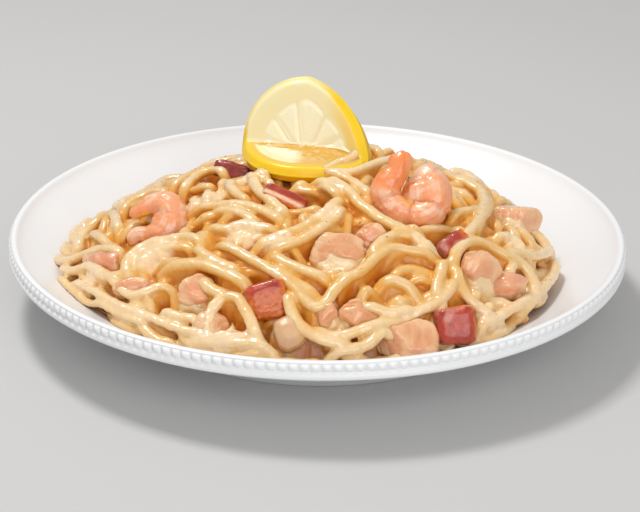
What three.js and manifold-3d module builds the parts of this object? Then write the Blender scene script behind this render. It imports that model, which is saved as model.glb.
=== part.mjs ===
// A plate of creamy seafood pasta: a round white plate with a fluted edge, a mound of long pasta,
// a folded slice of lemon on its top, two shrimps and pieces of fish and crab set into the mound.
// Millimetres, +Z up. The origin is the middle of the plate's foot, on the table.
import * as THREE from "three";
import { mergeVertices } from "three/addons/utils/BufferGeometryUtils.js";
import Module from "manifold-3d";

// Driving dimensions of the plate.
const PLATE_RADIUS = 135; // the band under the lip, the widest place
const LIP_RADIUS = 132.6; // the crest of the lip
const LIP_HEIGHT = 36;
const BAND_DEPTH = 7.4; // from the crest of the lip down to the edge of the band
const WELL_RADIUS = 62; // the flat middle of the plate
const WELL_HEIGHT = 6.2;
const FOOT_RADIUS = 85;
const FOOT_WIDTH = 6;
const FOOT_RECESS = 2;
const PLATE_SIDES = 60;

// Driving dimensions of the mound of pasta.
const MOUND = { x: -4, y: -7, halfWidth: 110, halfDepth: 98, edge: 20, top: 61, lean: 0.2 };
const HUMP = { x: 22, y: 16, spread: 13, rise: 6 }; // strands heaped beside the lemon
const MOUND_SIDES = 48;
const MOUND_RINGS = 11;
const UNEVEN = 1.5; // how far the strands make the mound rise and fall

const GAP = 0.35; // clear space between pieces that touch
const TAU = 2 * Math.PI;

const wasm = await Module();
wasm.setup();

// ---------------------------------------------------------------- meshes and solids

// A closed skin over rings of points; its two ends are closed by fans.
function skin(rings) {
  const around = rings[0].length;
  const points = rings.flat();
  const faces = [];
  for (let i = 0; i < rings.length - 1; i++) {
    for (let j = 0; j < around; j++) {
      const a = i * around + j;
      const b = i * around + ((j + 1) % around);
      faces.push([a, b, b + around], [a, b + around, a + around]);
    }
  }
  const close = (first, flip) => {
    const middle = new THREE.Vector3();
    for (let j = 0; j < around; j++) middle.add(points[first + j]);
    points.push(middle.divideScalar(around));
    for (let j = 0; j < around; j++) {
      const edge = [first + j, first + ((j + 1) % around)];
      if (flip) edge.reverse();
      faces.push([edge[1], edge[0], points.length - 1]);
    }
  };
  close(0, false);
  close((rings.length - 1) * around, true);
  const geometry = new THREE.BufferGeometry().setFromPoints(points);
  geometry.setIndex(faces.flat());
  return geometry;
}

// A geometry as a solid, its shared vertices merged; a skin that was wound inside out is turned.
function solid(geometry) {
  const bare = geometry.clone();
  bare.deleteAttribute("normal");
  bare.deleteAttribute("uv");
  const merged = mergeVertices(bare, 1e-3);
  const triVerts = new Uint32Array(merged.index.array);
  const vertProperties = merged.attributes.position.array;
  const made = new wasm.Manifold(new wasm.Mesh({ numProp: 3, vertProperties, triVerts }));
  if (made.volume() > 0) return made;
  for (let i = 0; i < triVerts.length; i += 3) {
    [triVerts[i + 1], triVerts[i + 2]] = [triVerts[i + 2], triVerts[i + 1]];
  }
  return new wasm.Manifold(new wasm.Mesh({ numProp: 3, vertProperties, triVerts }));
}

// The largest body of a solid, as a geometry.
function geometryOf(body) {
  const [largest] = body.decompose().sort((a, b) => b.volume() - a.volume());
  const mesh = largest.getMesh();
  const positions = new Float32Array(mesh.numVert * 3);
  for (let i = 0; i < mesh.numVert; i++) {
    const from = i * mesh.numProp;
    positions.set(mesh.vertProperties.subarray(from, from + 3), i * 3);
  }
  const geometry = new THREE.BufferGeometry();
  geometry.setAttribute("position", new THREE.BufferAttribute(positions, 3));
  geometry.setIndex(new THREE.BufferAttribute(mesh.triVerts, 1));
  return geometry;
}

// ---------------------------------------------------------------- the plate

// The eating surface from the well to the inside of the lip, as radius and height.
const INSIDE = [
  [WELL_RADIUS, WELL_HEIGHT],
  [79, 8.6],
  [93, 13.2],
  [107, 19.4],
  [119, 26],
  [127, 31.4],
  [130.4, 34.6],
];

function plateHeight(radius) {
  if (radius <= WELL_RADIUS) return WELL_HEIGHT;
  for (let i = 1; i < INSIDE.length; i++) {
    const [r0, z0] = INSIDE[i - 1];
    const [r1, z1] = INSIDE[i];
    if (radius <= r1) return z0 + ((z1 - z0) * (radius - r0)) / (r1 - r0);
  }
  return LIP_HEIGHT;
}

function plateGeometry() {
  const band = LIP_HEIGHT - BAND_DEPTH;
  const footInside = FOOT_RADIUS - FOOT_WIDTH;
  const profile = [
    [0, FOOT_RECESS],
    [footInside - 2, FOOT_RECESS],
    [footInside, 0],
    [FOOT_RADIUS, 0],
    [FOOT_RADIUS + 2, 3],
    [102, 11.4],
    [122, 22.4],
    [PLATE_RADIUS - 1.6, band - 0.2],
    [PLATE_RADIUS, band + 1.4],
    [PLATE_RADIUS - 0.2, band + 4.6],
    [LIP_RADIUS + 1, LIP_HEIGHT - 0.5],
    [LIP_RADIUS, LIP_HEIGHT],
    [LIP_RADIUS - 1.1, LIP_HEIGHT - 0.3],
    ...[...INSIDE].reverse(),
    [0, WELL_HEIGHT],
  ].map(([r, z]) => new THREE.Vector2(r, z));
  return new THREE.LatheGeometry(profile, PLATE_SIDES).rotateX(Math.PI / 2);
}

// ---------------------------------------------------------------- the mound of pasta

// Height of the mound's smooth form. It is steeper at the sides and the back than in front.
function moundHeight(x, y) {
  const dx = (x - MOUND.x) / MOUND.halfWidth;
  const dy = (y - MOUND.y) / MOUND.halfDepth;
  const rho = Math.min(1, Math.hypot(dx, dy));
  const front = rho > 0 ? -dy / rho : 0;
  const rise = Math.pow(1 - Math.pow(rho, 2.1), 0.76 + 0.14 * front);
  const away = ((x - HUMP.x) ** 2 + (y - HUMP.y) ** 2) / (2 * HUMP.spread ** 2);
  const hump = HUMP.rise * Math.exp(-away);
  return MOUND.edge + (MOUND.top - MOUND.edge) * rise * (1 + MOUND.lean * dx) + hump;
}

// The rise and fall of the strands over the mound.
function strandWave(x, y) {
  const along = Math.sin(x * 0.11 + 1.3 * Math.sin(y * 0.07)) * Math.cos(y * 0.13 - x * 0.04);
  return UNEVEN * (along + 0.5 * Math.sin(y * 0.21 + x * 0.09));
}

// How far the outline reaches at an angle, as a share of the mound's smooth outline.
function outline(angle) {
  return 1 - 0.018 + 0.012 * Math.sin(5 * angle + 0.6) + 0.01 * Math.sin(9 * angle + 2.1)
    + 0.008 * Math.sin(17 * angle);
}

function moundGeometry() {
  const rings = [];
  const ringAt = (share, heightAt) => {
    const ring = [];
    for (let j = 0; j < MOUND_SIDES; j++) {
      const angle = (TAU * j) / MOUND_SIDES;
      const reach = share * outline(angle);
      const x = MOUND.x + MOUND.halfWidth * reach * Math.cos(angle);
      const y = MOUND.y + MOUND.halfDepth * reach * Math.sin(angle);
      ring.push(new THREE.Vector3(x, y, heightAt(x, y)));
    }
    rings.push(ring);
  };
  const under = (x, y) => plateHeight(Math.hypot(x, y)) + GAP;
  const over = (x, y) => Math.max(under(x, y) + 1.6, moundHeight(x, y) + strandWave(x, y));
  for (const share of [0.12, 0.56, 0.7, 0.8, 0.9]) ringAt(share, under);
  ringAt(0.985, under);
  for (let i = MOUND_RINGS; i > 0; i--) ringAt(Math.pow(i / MOUND_RINGS, 0.8), over);
  return skin(rings);
}

// ---------------------------------------------------------------- the slice of lemon

// The slice is folded across: its lower part lies towards the front, and its upper part stands up
// and leans back. Its right side curls round to the front.
const LEMON = {
  at: [-6.2, 18, 64.3], // the middle of the fold
  left: 27.5, // half widths
  right: 34.5,
  halfHeight: 29.4,
  slanted: 1.5, // above 1 the right side runs straighter from its top to its end
  thickness: 7.5,
  fold: -2, // the fold's height from the middle of the slice
  bend: 6.5, // the fold's radius
  lying: 0.05, // slope of the lower part, as an angle
  standing: 1.29, // slope of the upper part
  turn: -0.16, // about the vertical
  curl: 1, // how far the right edge turns to the front
  curlFrom: 4,
};
const LEMON_SIDES = 32;
const UPRIGHT = new THREE.Vector3(0, 0, 1);

// A point of the flat slice, moved to where the folded slice has it.
function foldLemon(u, v, h) {
  const { bend, lying, standing, curlFrom } = LEMON;
  const arc = bend * (standing - lying);
  const s = v - LEMON.fold;
  const part = THREE.MathUtils.clamp(s / arc + 0.5, 0, 1);
  const slope = lying + part * (standing - lying);
  const middle = (lying + standing) / 2;
  const over = Math.max(0, s - arc / 2);
  const below = Math.min(0, s + arc / 2);
  const y = bend * (Math.sin(slope) - Math.sin(middle))
    + over * Math.cos(standing) + below * Math.cos(lying);
  const z = bend * (Math.cos(middle) - Math.cos(slope))
    + over * Math.sin(standing) + below * Math.sin(lying);
  const point = new THREE.Vector3(u, y, z);
  const face = new THREE.Vector3(0, -Math.sin(slope), Math.cos(slope));
  const past = u - curlFrom;
  if (past > 0) {
    const bow = LEMON.curl / (LEMON.right - curlFrom);
    point.x = curlFrom + Math.sin(bow * past) / bow;
    point.y -= (1 - Math.cos(bow * past)) / bow;
    face.applyAxisAngle(UPRIGHT, -bow * past);
  }
  point.addScaledVector(face, h).applyAxisAngle(UPRIGHT, LEMON.turn);
  return point.add(new THREE.Vector3(...LEMON.at));
}

function lemonGeometry(grow = 0) {
  const half = LEMON.thickness / 2 + grow;
  const profile = [
    [0.3, half],
    [0.65, half],
    [0.95, half],
    [1, half * 0.7],
    [1, -half * 0.7],
    [0.95, -half],
    [0.65, -half],
    [0.3, -half],
  ];
  const rings = profile.map(([share, h]) => {
    const ring = [];
    for (let j = 0; j < LEMON_SIDES; j++) {
      const angle = (TAU * j) / LEMON_SIDES;
      const across = Math.cos(angle);
      const high = Math.sin(angle);
      const power = across > 0 && high > 0 ? LEMON.slanted : 1;
      const reach = (across > 0 ? LEMON.right : LEMON.left) + grow;
      const u = reach * share * Math.sign(across) * Math.pow(Math.abs(across), power);
      const v = (LEMON.halfHeight + grow) * share * Math.sign(high) * Math.pow(Math.abs(high), power);
      ring.push(foldLemon(u, v, h));
    }
    return ring;
  });
  return skin(rings);
}

// ---------------------------------------------------------------- shrimps

// A shrimp is curled up in a plane. Along its middle line from its thick end to its tail: the place
// across, up and out of that plane, then the half width and the half depth there. Its lobe is the
// plump inside of the curl: a place in the plane and three half sizes.
const SHRIMPS = {
  shrimp_right: {
    at: [35.6, -28.6, 59.4],
    facing: [0.06, -0.83, 0.56],
    body: [
      [5.8, 12.2, -2, 4.2, 4],
      [10.4, 9.4, -1, 6.6, 6.2],
      [13, 3, 0, 7.6, 7.4],
      [11.6, -4.4, 0.2, 7, 7.2],
      [5.4, -7, 0.4, 5.2, 6.6],
      [-1.6, -5, 0.6, 5.4, 6.4],
      [-7.2, 0.4, 0.8, 6.4, 6.2],
      [-6.4, 6.2, 2, 6.2, 5.6],
      [-2.6, 11.2, 3.6, 5, 3.8],
      [-0.6, 17, 4.8, 5.4, 2.4],
      [-0.4, 20.4, 5.2, 4.4, 1.6],
    ],
    lobe: { at: [9.4, 2.6, -0.8], half: [9.8, 8.6, 6.4] },
  },
  shrimp_left: {
    at: [-68.3, -21.6, 46.4],
    facing: [-0.16, -0.8, 0.58],
    body: [
      [-11.2, -11.6, -0.6, 2.6, 2.4],
      [-7.6, -7.8, 0, 3.2, 3.2],
      [-2, -7.2, 0.2, 4.2, 4.4],
      [4.6, -5.4, 0.4, 6, 6],
      [6.6, 0.6, 0.4, 6.6, 6.2],
      [3.4, 6.2, 0.2, 5.8, 5.6],
      [-2.2, 6.4, 0.4, 4.3, 4.6],
      [-7.2, 3.4, 0.6, 3.7, 3.8],
      [-12.2, -0.2, 1, 1.8, 1.8],
    ],
    lobe: { at: [5.6, -2, 0], half: [8, 8.4, 6] },
  },
};
const SHRIMP_RINGS = 14;
const SHRIMP_SIDES = 10;

function frameFacing(facing, spin = 0) {
  const normal = new THREE.Vector3(...facing).normalize();
  const right = UPRIGHT.clone().cross(normal).normalize();
  const up = normal.clone().cross(right);
  right.applyAxisAngle(normal, spin);
  up.applyAxisAngle(normal, spin);
  return { right, up, normal };
}

function shrimpSolid({ at, facing, body, lobe }, grow = 0) {
  const { right, up, normal } = frameFacing(facing);
  const place = ([across, high, out]) => new THREE.Vector3(...at)
    .addScaledVector(right, across)
    .addScaledVector(up, high)
    .addScaledVector(normal, out);
  const line = new THREE.CatmullRomCurve3(body.map(place));
  const sizes = new THREE.CatmullRomCurve3(body.map((p) => new THREE.Vector3(p[3], p[4], 0)));
  const rings = [];
  for (let i = 0; i < SHRIMP_RINGS; i++) {
    const t = i / (SHRIMP_RINGS - 1);
    const ends = Math.sqrt(Math.min(1, 0.12 + 7 * t, 0.12 + 7 * (1 - t)));
    const middle = line.getPoint(t);
    const side = line.getTangent(t).cross(normal).normalize();
    const size = sizes.getPoint(t);
    const ring = [];
    for (let j = 0; j < SHRIMP_SIDES; j++) {
      const around = (TAU * j) / SHRIMP_SIDES;
      const point = middle.clone();
      point.addScaledVector(side, (size.x * ends + grow) * Math.cos(around));
      ring.push(point.addScaledVector(normal, (size.y * ends + grow) * Math.sin(around)));
    }
    rings.push(ring);
  }
  const plump = new THREE.SphereGeometry(1, SHRIMP_SIDES, 6);
  const [wide, high, deep] = lobe.half.map((size) => size + grow);
  plump.applyMatrix4(new THREE.Matrix4().makeScale(wide, high, deep));
  plump.applyMatrix4(new THREE.Matrix4().makeBasis(right, up, normal).setPosition(place(lobe.at)));
  return solid(skin(rings)).add(solid(plump));
}

// ---------------------------------------------------------------- pieces of fish and crab

// Each piece: where its middle is, its half sizes across, up and through, the way its broad face
// looks, how far it is turned in that face (radians) and how square it is, from 0 round to 1 boxy.
const PIECES = {
  fish_middle: { at: [9.2, -61, 48.6], half: [10.6, 8.2, 7], facing: [0.02, -0.7, 0.7], spin: -0.1, square: 0.35 },
  fish_middle_back: { at: [21.4, -50.4, 51.6], half: [6.2, 6, 5], facing: [0.1, -0.6, 0.8], spin: 0.6, square: 0.5 },
  fish_front_left: { at: [-48, -72, 35.2], half: [7, 7.4, 6.2], facing: [-0.2, -0.8, 0.55], spin: 0.2, square: 0.3 },
  fish_low_left: { at: [-42.4, -87.2, 26.8], half: [7.4, 6.6, 5.6], facing: [-0.2, -0.8, 0.55], spin: 0, square: 0.2 },
  fish_front_a: { at: [4, -86, 34], half: [5.6, 6.8, 5], facing: [0, -0.75, 0.6], spin: 0.3, square: 0.5 },
  fish_front_b: { at: [16.6, -86.8, 33.6], half: [5.6, 6.2, 5], facing: [0.1, -0.75, 0.6], spin: 0.75, square: 0.6 },
  fish_front_right: { at: [36, -91, 24.4], half: [11.4, 7.6, 6], facing: [0.15, -0.8, 0.58], spin: 0.05, square: 0.5 },
  fish_right: { at: [66, -56, 40.4], half: [7.4, 8.2, 6.2], facing: [0.3, -0.7, 0.65], spin: 0.3, square: 0.3 },
  fish_right_low: { at: [79.4, -54.4, 31.6], half: [8, 5.6, 5.4], facing: [0.4, -0.65, 0.6], spin: -0.3, square: 0.4 },
  fish_back_right: { at: [88, 4, 37.4], half: [10.4, 7.4, 8], facing: [0.5, -0.55, 0.65], spin: -0.35, square: 0.35 },
  fish_left: { at: [-89.8, -35, 32.4], half: [10.6, 5.4, 6], facing: [-0.35, -0.7, 0.6], spin: -0.2, square: 0.35 },
  fish_sliver: { at: [-75.6, -60.4, 32], half: [8, 3.6, 5], facing: [-0.3, -0.75, 0.6], spin: 0.5, square: 0.3 },
  mushroom_front: { at: [-10.4, -93.6, 28.2], half: [7, 7.6, 6], facing: [-0.05, -0.8, 0.58], spin: 0.5, square: 0.3 },
  crab_front: { at: [-19.6, -81, 36.6], half: [9, 8.2, 5.4], facing: [0.02, -0.86, 0.5], spin: 0.22, square: 0.75 },
  crab_right: { at: [55.4, -83, 27.6], half: [8.6, 8, 7.2], facing: [0.06, -0.9, 0.42], spin: 0.1, square: 0.85 },
  crab_small: { at: [56.4, -46, 46.2], half: [7.6, 5.4, 5], facing: [0.2, -0.7, 0.65], spin: 0.5, square: 0.6 },
  crab_top: { at: [-13.8, -27.2, 58.2], half: [10.4, 4, 4.4], facing: [0.1, -0.75, 0.65], spin: -0.5, square: 0.75 },
  crab_back_left: { at: [-38.2, 14, 53.8], half: [9, 5, 5], facing: [-0.1, -0.8, 0.6], spin: -0.25, square: 0.7 },
};
const PIECE_RINGS = 5;
const PIECE_SIDES = 9;

function pieceGeometry({ at, half, facing, spin, square }, grow = 0) {
  const { right, up, normal } = frameFacing(facing, spin);
  const power = 1 - 0.72 * square;
  const shaped = (value) => Math.sign(value) * Math.pow(Math.abs(value), power);
  const rings = [];
  for (let i = 0; i < PIECE_RINGS; i++) {
    const rise = Math.PI * ((i + 0.5) / PIECE_RINGS - 0.5);
    const ring = [];
    for (let j = 0; j < PIECE_SIDES; j++) {
      const around = (TAU * j) / PIECE_SIDES;
      const wide = shaped(Math.cos(rise));
      const lump = 1 + 0.05 * Math.sin(3 * around + at[0]) * wide;
      const point = new THREE.Vector3(...at);
      point.addScaledVector(right, (half[0] + grow) * wide * shaped(Math.cos(around)) * lump);
      point.addScaledVector(up, (half[1] + grow) * wide * shaped(Math.sin(around)) * lump);
      ring.push(point.addScaledVector(normal, (half[2] + grow) * shaped(Math.sin(rise))));
    }
    rings.push(ring);
  }
  return skin(rings);
}

// ---------------------------------------------------------------- materials and assembly

const finish = (color, roughness) => new THREE.MeshStandardMaterial({ color, roughness, metalness: 0 });
const GLAZE = finish(0xf4f2f0, 0.15);
const PASTA = finish(0xe9cf9c, 0.4);
const LEMON_PEEL = finish(0xf3c71d, 0.35);
const SHRIMP = finish(0xe98e68, 0.35);
const FISH = finish(0xe6ae85, 0.4);
const MUSHROOM = finish(0xdcb587, 0.45);
const CRAB = finish(0xa8362a, 0.35);

const PIECE_FINISHES = { fish: FISH, mushroom: MUSHROOM, crab: CRAB };

const plateOfPasta = new THREE.Group();
plateOfPasta.name = "plate_of_pasta";

function add(name, geometry, material) {
  const mesh = new THREE.Mesh(geometry, material);
  mesh.name = name;
  plateOfPasta.add(mesh);
}

// Everything that sits in the mound: its solid, made a little larger by `grow` for its hollow.
const toppings = { lemon_slice: { make: (grow) => solid(lemonGeometry(grow)), material: LEMON_PEEL } };
for (const [name, shrimp] of Object.entries(SHRIMPS)) {
  toppings[name] = { make: (grow) => shrimpSolid(shrimp, grow), material: SHRIMP };
}
for (const [name, piece] of Object.entries(PIECES)) {
  const material = PIECE_FINISHES[name.split("_")[0]];
  toppings[name] = { make: (grow) => solid(pieceGeometry(piece, grow)), material };
}

let mound = solid(moundGeometry());
for (const { make } of Object.values(toppings)) mound = mound.subtract(make(GAP));

add("plate", plateGeometry(), GLAZE);
add("pasta", geometryOf(mound), PASTA);
for (const [name, { make, material }] of Object.entries(toppings)) {
  add(name, geometryOf(make(0)), material);
}

export default plateOfPasta;
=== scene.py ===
"""Plate of pasta: a fluted white plate with a heap of sauced noodles, seafood and a folded lemon slice."""
import math

import bpy
import numpy as np
from bpy.props import FloatProperty, FloatVectorProperty, IntProperty, PointerProperty
from mathutils import Matrix, Vector, noise


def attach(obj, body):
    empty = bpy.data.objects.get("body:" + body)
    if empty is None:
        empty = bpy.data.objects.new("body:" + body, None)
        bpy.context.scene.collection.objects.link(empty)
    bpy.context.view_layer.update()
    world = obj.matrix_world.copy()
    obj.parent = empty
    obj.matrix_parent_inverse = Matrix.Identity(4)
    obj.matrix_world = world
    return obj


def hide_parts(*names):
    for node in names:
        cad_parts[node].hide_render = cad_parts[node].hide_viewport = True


bl_info = {
    "name": "Plate of pasta",
    "version": (1, 0, 0),
    "blender": (4, 5, 0),
    "location": "3D View > Sidebar > Pasta",
    "description": "Builds a plate of sauced noodles with seafood and a folded lemon slice",
    "category": "Add Mesh",
}

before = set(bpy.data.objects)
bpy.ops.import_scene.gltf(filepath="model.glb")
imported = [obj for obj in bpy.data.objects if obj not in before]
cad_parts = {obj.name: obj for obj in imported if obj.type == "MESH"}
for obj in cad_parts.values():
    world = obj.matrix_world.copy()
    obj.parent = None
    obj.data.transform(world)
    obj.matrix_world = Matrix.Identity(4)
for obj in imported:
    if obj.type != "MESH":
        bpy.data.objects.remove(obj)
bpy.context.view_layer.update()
MM = 0.001

# ---------------------------------------------------------------- sizes of the plate and the heap, in mm
PLATE_INSIDE = [(0, 6.2), (62, 6.2), (79, 8.6), (93, 13.2), (107, 19.4), (119, 26), (127, 31.4),
                (130.4, 34.6)]
MOUND = {"x": -4.0, "y": -7.0, "half_width": 110.0, "half_depth": 98.0, "edge": 20.0, "top": 61.0,
         "lean": 0.2}
HUMP = {"x": 22.0, "y": 16.0, "spread": 13.0, "rise": 6.0}
CELL = 0.5
LEFT, NEAR = -128.0, -118.0
COLUMNS, ROWS = 512, 452
NO_LIMIT = 1e3  # a height that nothing reaches
COARSE = 6  # every how many cells the slow searches look
PATH_STEP = 1.2  # spacing of the points along a strand
STRAND_WIDTH = 1.24  # how much wider than thick the sauce makes a strand
HEAP_EDGE = 0.93  # the share of the heap's reach inside which strands are heaped up
LYING_HALF = 8  # the half of the lemon slice in front of this lies on the heap
CORE_DEPTH, PIT_DEPTH = 8.5, 6  # how far under the surface the filled core lies, and how much more in gaps
NEST = 0.78  # how far a strand's middle rests over what is under it, as a share of its thickness
SETTLING, SAG, DROP = 60, 0.06, 0.8  # rounds of settling, sag between points, steepest fall of an end
END_SINK, END_LENGTH = 5.5, 9  # how deep a hidden end sinks in, and over what length
SHORTEST = 14  # fewest points of a strand that is cut short by a crowd
TRIES = 7  # routes tried for each bundle
BUNDLE_PITCH = 5.0  # distance between the strands of a bundle
TOP_ROOM = 2.6  # room that the hidden strands leave to those on top

# Strands that show on top, lowest first: their route over the heap seen from above, the half width, and
# which of the two ends shows as a tip.
TOP_STRANDS = [
    # left side
    ([(-86, -6), (-84, 3), (-77, 9), (-68, 8), (-62, 3)], 2.1, ""),
    ([(-103, -22), (-103, -8), (-97, 3), (-90, 0), (-87, -12), (-84, -24)], 2.1, ""),
    ([(-99, -5), (-94, -18), (-87, -29), (-80, -36)], 2.1, ""),
    ([(-113, -14), (-107, -24), (-98, -28.5), (-90, -31.5), (-84, -37), (-79, -44)], 2.2, "s"),
    ([(-109, -27), (-104, -35), (-97, -38), (-92, -44), (-87.5, -51), (-80, -54), (-74, -59)], 2.2, "s"),
    ([(-109, -36), (-103.5, -45), (-97, -54), (-90, -62), (-82, -70.5), (-73, -78.5), (-64, -84)], 1.6, ""),
    ([(-104, -38), (-98, -48), (-91, -57), (-84, -65), (-76.5, -72.5), (-66, -80.5), (-55, -88), (-42, -94),
      (-30, -98)], 1.8, ""),
    ([(-99, -35), (-92.5, -43), (-86, -52), (-81.5, -60), (-76, -67), (-70, -68), (-64, -66.5), (-58, -68),
      (-57, -76)], 1.9, ""),
    ([(-63, -73), (-61, -78), (-56, -83), (-49, -86), (-42, -89)], 1.9, ""),
    ([(-52, -92), (-42, -96), (-33, -97.5), (-24, -99), (-14, -101)], 2.3, ""),
    ([(-66, 2), (-62, 10), (-56, 18), (-50, 22), (-42, 18), (-34, 10)], 2.1, ""),
    ([(-60, -5), (-57, 6), (-52, 14), (-46, 14), (-38, 4)], 2.1, ""),
    ([(-40, -14), (-41, -4), (-37, 2), (-31, 2), (-28, -6), (-26, -16)], 2.1, ""),
    ([(-38, 0), (-38, -8), (-36, -16), (-31, -24), (-26, -30)], 2.1, ""),
    ([(-30, -2), (-28, -10), (-26, -19), (-22, -28), (-16, -37), (-10, -45)], 2.2, ""),
    ([(-56, -21), (-48, -24), (-40, -27), (-31, -31), (-24, -36), (-17, -43), (-11, -49)], 2.2, ""),
    ([(-48, -29), (-40, -32), (-33, -36), (-27, -42), (-21, -48)], 2.2, ""),
    ([(-50, -40), (-43, -43), (-38, -45.5), (-30, -45), (-24, -48), (-18, -50), (-12, -51)], 2.3, ""),
    ([(-70, -58), (-72, -51), (-68, -47), (-60, -48), (-53, -51), (-48, -56)], 2.2, ""),
    ([(-74, -60), (-78.5, -52), (-77.5, -44.5), (-70, -41), (-61, -42.5), (-53, -45), (-47, -51),
      (-43, -54)], 2.3, ""),
    # right side
    ([(103, -10), (102, -22), (98.5, -34), (94, -45), (88, -55), (80, -65), (71, -74), (62, -83)], 2.2, ""),
    ([(101, -6), (99, -17), (94, -27), (87, -34.5), (80, -39), (74, -43.5)], 2.1, ""),
    ([(72, -38), (77, -31), (82, -28.5), (87, -33), (91, -38)], 2.1, ""),
    ([(56, 19), (61, 24), (67, 25), (71, 16), (71, -2)], 2.1, ""),
    ([(54, 24), (60, 12), (67, 6), (72, -1), (73, -12), (69, -26), (64, -42)], 2.1, ""),
    ([(58, -47), (63, -39), (67, -30), (70, -19), (71.5, -8), (70, 3), (64, 10), (56, 12)], 2.2, ""),
    ([(84, -38), (82, -44), (80, -50), (84, -56)], 1.9, ""),
    ([(54.5, -66), (55.5, -58), (58.5, -50), (64, -44), (71, -41.5), (78, -42), (85, -41), (90, -45),
      (90.5, -52), (86, -60), (80, -66)], 2.3, ""),
    ([(52, -56), (56, -61), (58, -67.5), (62, -72), (69, -73), (76, -70)], 2.2, ""),
    ([(54, -54), (51.5, -60), (49.5, -67), (48, -74), (50, -79), (45, -84)], 2.2, ""),
    # front
    ([(2, -101), (12, -101), (20, -98), (26, -93.5), (33, -90)], 2.3, ""),
    ([(-6, -92), (4, -96), (13, -96), (21, -93), (30, -88.5), (38, -84.5), (46, -80), (51.5, -75), (55, -68),
      (56.5, -61)], 2.2, ""),
    ([(-14, -77), (-11.5, -83), (-9.5, -90), (-5, -95.5), (2, -98.5), (10, -99.5), (17, -97)], 2.3, ""),
    ([(14, -83), (21, -86), (29, -86.5), (37, -84), (43, -80)], 2.2, ""),
    ([(17, -86), (18, -81), (22, -78), (27, -79)], 2.0, ""),
    ([(22, -77), (27, -74), (34, -74.5), (40, -77), (44, -80)], 2.5, ""),
    ([(19, -69), (23, -62), (27, -56), (32, -52), (38, -51.5), (44, -54), (52, -56.5)], 2.2, ""),
    ([(-22, -60), (-17, -65), (-11, -70), (-4, -73.5), (3, -76), (9, -77)], 2.3, ""),
    ([(-22, -66), (-15, -73), (-8, -78), (0, -82.5), (5, -84)], 2.2, ""),
    ([(-46, -69.5), (-44, -74), (-38, -78.5), (-30, -80)], 2.5, "s"),
    ([(-52, -48), (-47, -57), (-40, -63.5), (-33, -69), (-27, -74)], 2.3, ""),
    ([(-66, -57), (-58, -59.5), (-50, -61.5), (-42, -66), (-35, -71), (-28, -76), (-23, -78)], 2.7, ""),
    ([(-47, -97), (-43.5, -91), (-42, -85), (-37.5, -80.8), (-32, -81.6), (-28.5, -86.5), (-25.5, -92),
      (-22.5, -97.5), (-17, -100)], 2.2, ""),
    ([(11, -33), (9, -41), (4, -49), (-3, -55), (-11, -60), (-18, -62), (-22, -66)], 2.2, ""),
    ([(12, -28), (7, -36), (2, -43), (-5, -49.5), (-13, -54), (-22, -58), (-30, -60)], 2.4, ""),
    ([(-44, -50), (-37, -56), (-30, -62), (-23, -68), (-15, -75), (-9, -80), (-5, -85), (-1, -88),
      (3, -86.5), (7, -81), (12, -76), (18, -72), (24, -65), (30, -60), (38, -59), (48, -58.5),
      (52, -60)], 2.2, ""),
    # beside the lemon and over the edge of the right shrimp
    ([(-26, 0), (-23, -6), (-20, -12)], 2.1, "s"),
    ([(-3, -17), (3, -22), (8, -28), (14, -31)], 2.1, ""),
    ([(-5, -12), (-1, -16), (7, -22), (14, -27), (18, -33)], 2.1, ""),
    ([(0, -12), (7, -19), (13, -27), (17, -35), (23, -41), (31, -47), (40, -51), (49, -53.5)], 2.2, ""),
    ([(1, -7), (9, -12), (15, -18), (20, -26), (23, -34)], 2.1, ""),
    ([(34, 13), (31, 4), (22, -4), (14, -10), (7, -10), (3, -9)], 2.1, "e"),
    ([(23, 14), (19, 8), (14, 1), (9, -1), (5, -5), (1, -9)], 2.1, "e"),
]

# Thick sauce: centre seen from above, half length, half width, and how far it stands over the strands.
SAUCE_POOLS = [
    (-50, -14, 11, 7, 0.4), (-70, -47, 13, 8, 0.2), (-30, -49, 9, 6, 0.4), (2, -43, 9, 6, 0.3),
    (66, 22, 11, 9, 0.3), (71, -74, 8, 6, 0.2), (-33, -4, 8, 5, 0.2), (-94, -46, 8, 5, 0.2),
    (45, -54, 6, 4, 0.2), (-16, -58, 7, 4, 0.2), (20, 26, 8, 5, 0.3), (84, -30, 7, 6, 0.1),
    (-4, 58, 13, 8, 0.3), (-52, 48, 11, 7, 0.3), (44, 60, 9, 7, 0.3),
]
# Deep gaps between the strands: x, y, radius.
DEEP_GAPS = [(-31, -87, 4.5), (-34, -83, 3.5), (-16.3, -91, 4), (-3.6, -96, 4), (14.8, -95, 3),
             (44.5, -91, 4), (24, -73, 4), (-60, -72, 4), (1, -30, 4), (-37, 8, 7)]
# Sauce that stands as high as the heap itself, in the same terms.
SAUCE_LUMPS = [(-42, -90, 10, 8, 2.6), (-35, -95.5, 9, 5, 2.0)]
LEAN_SINK, RICH_SINK = 3.1, 1.9  # how far thin and thick sauce lie under the tops of the strands
BRIM_DROP = 5.0  # how far under a chunk's top the sauce rises against it
CHUNK_SHOWS = 3.2  # how much of a chunk stands clear of the sauce


# ---------------------------------------------------------------- shared helpers
def smooth(t):
    """A rounded step from 0 to 1."""
    t = np.clip(t, 0, 1)
    return t * t * (3 - 2 * t)


def plate_inside(r):
    """Height of the plate's inside at a radius."""
    return np.interp(r, [p[0] for p in PLATE_INSIDE], [p[1] for p in PLATE_INSIDE])


def mound_reach(x, y):
    """0 at the middle of the heap and 1 at its edge."""
    return np.hypot((x - MOUND["x"]) / MOUND["half_width"], (y - MOUND["y"]) / MOUND["half_depth"])


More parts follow.
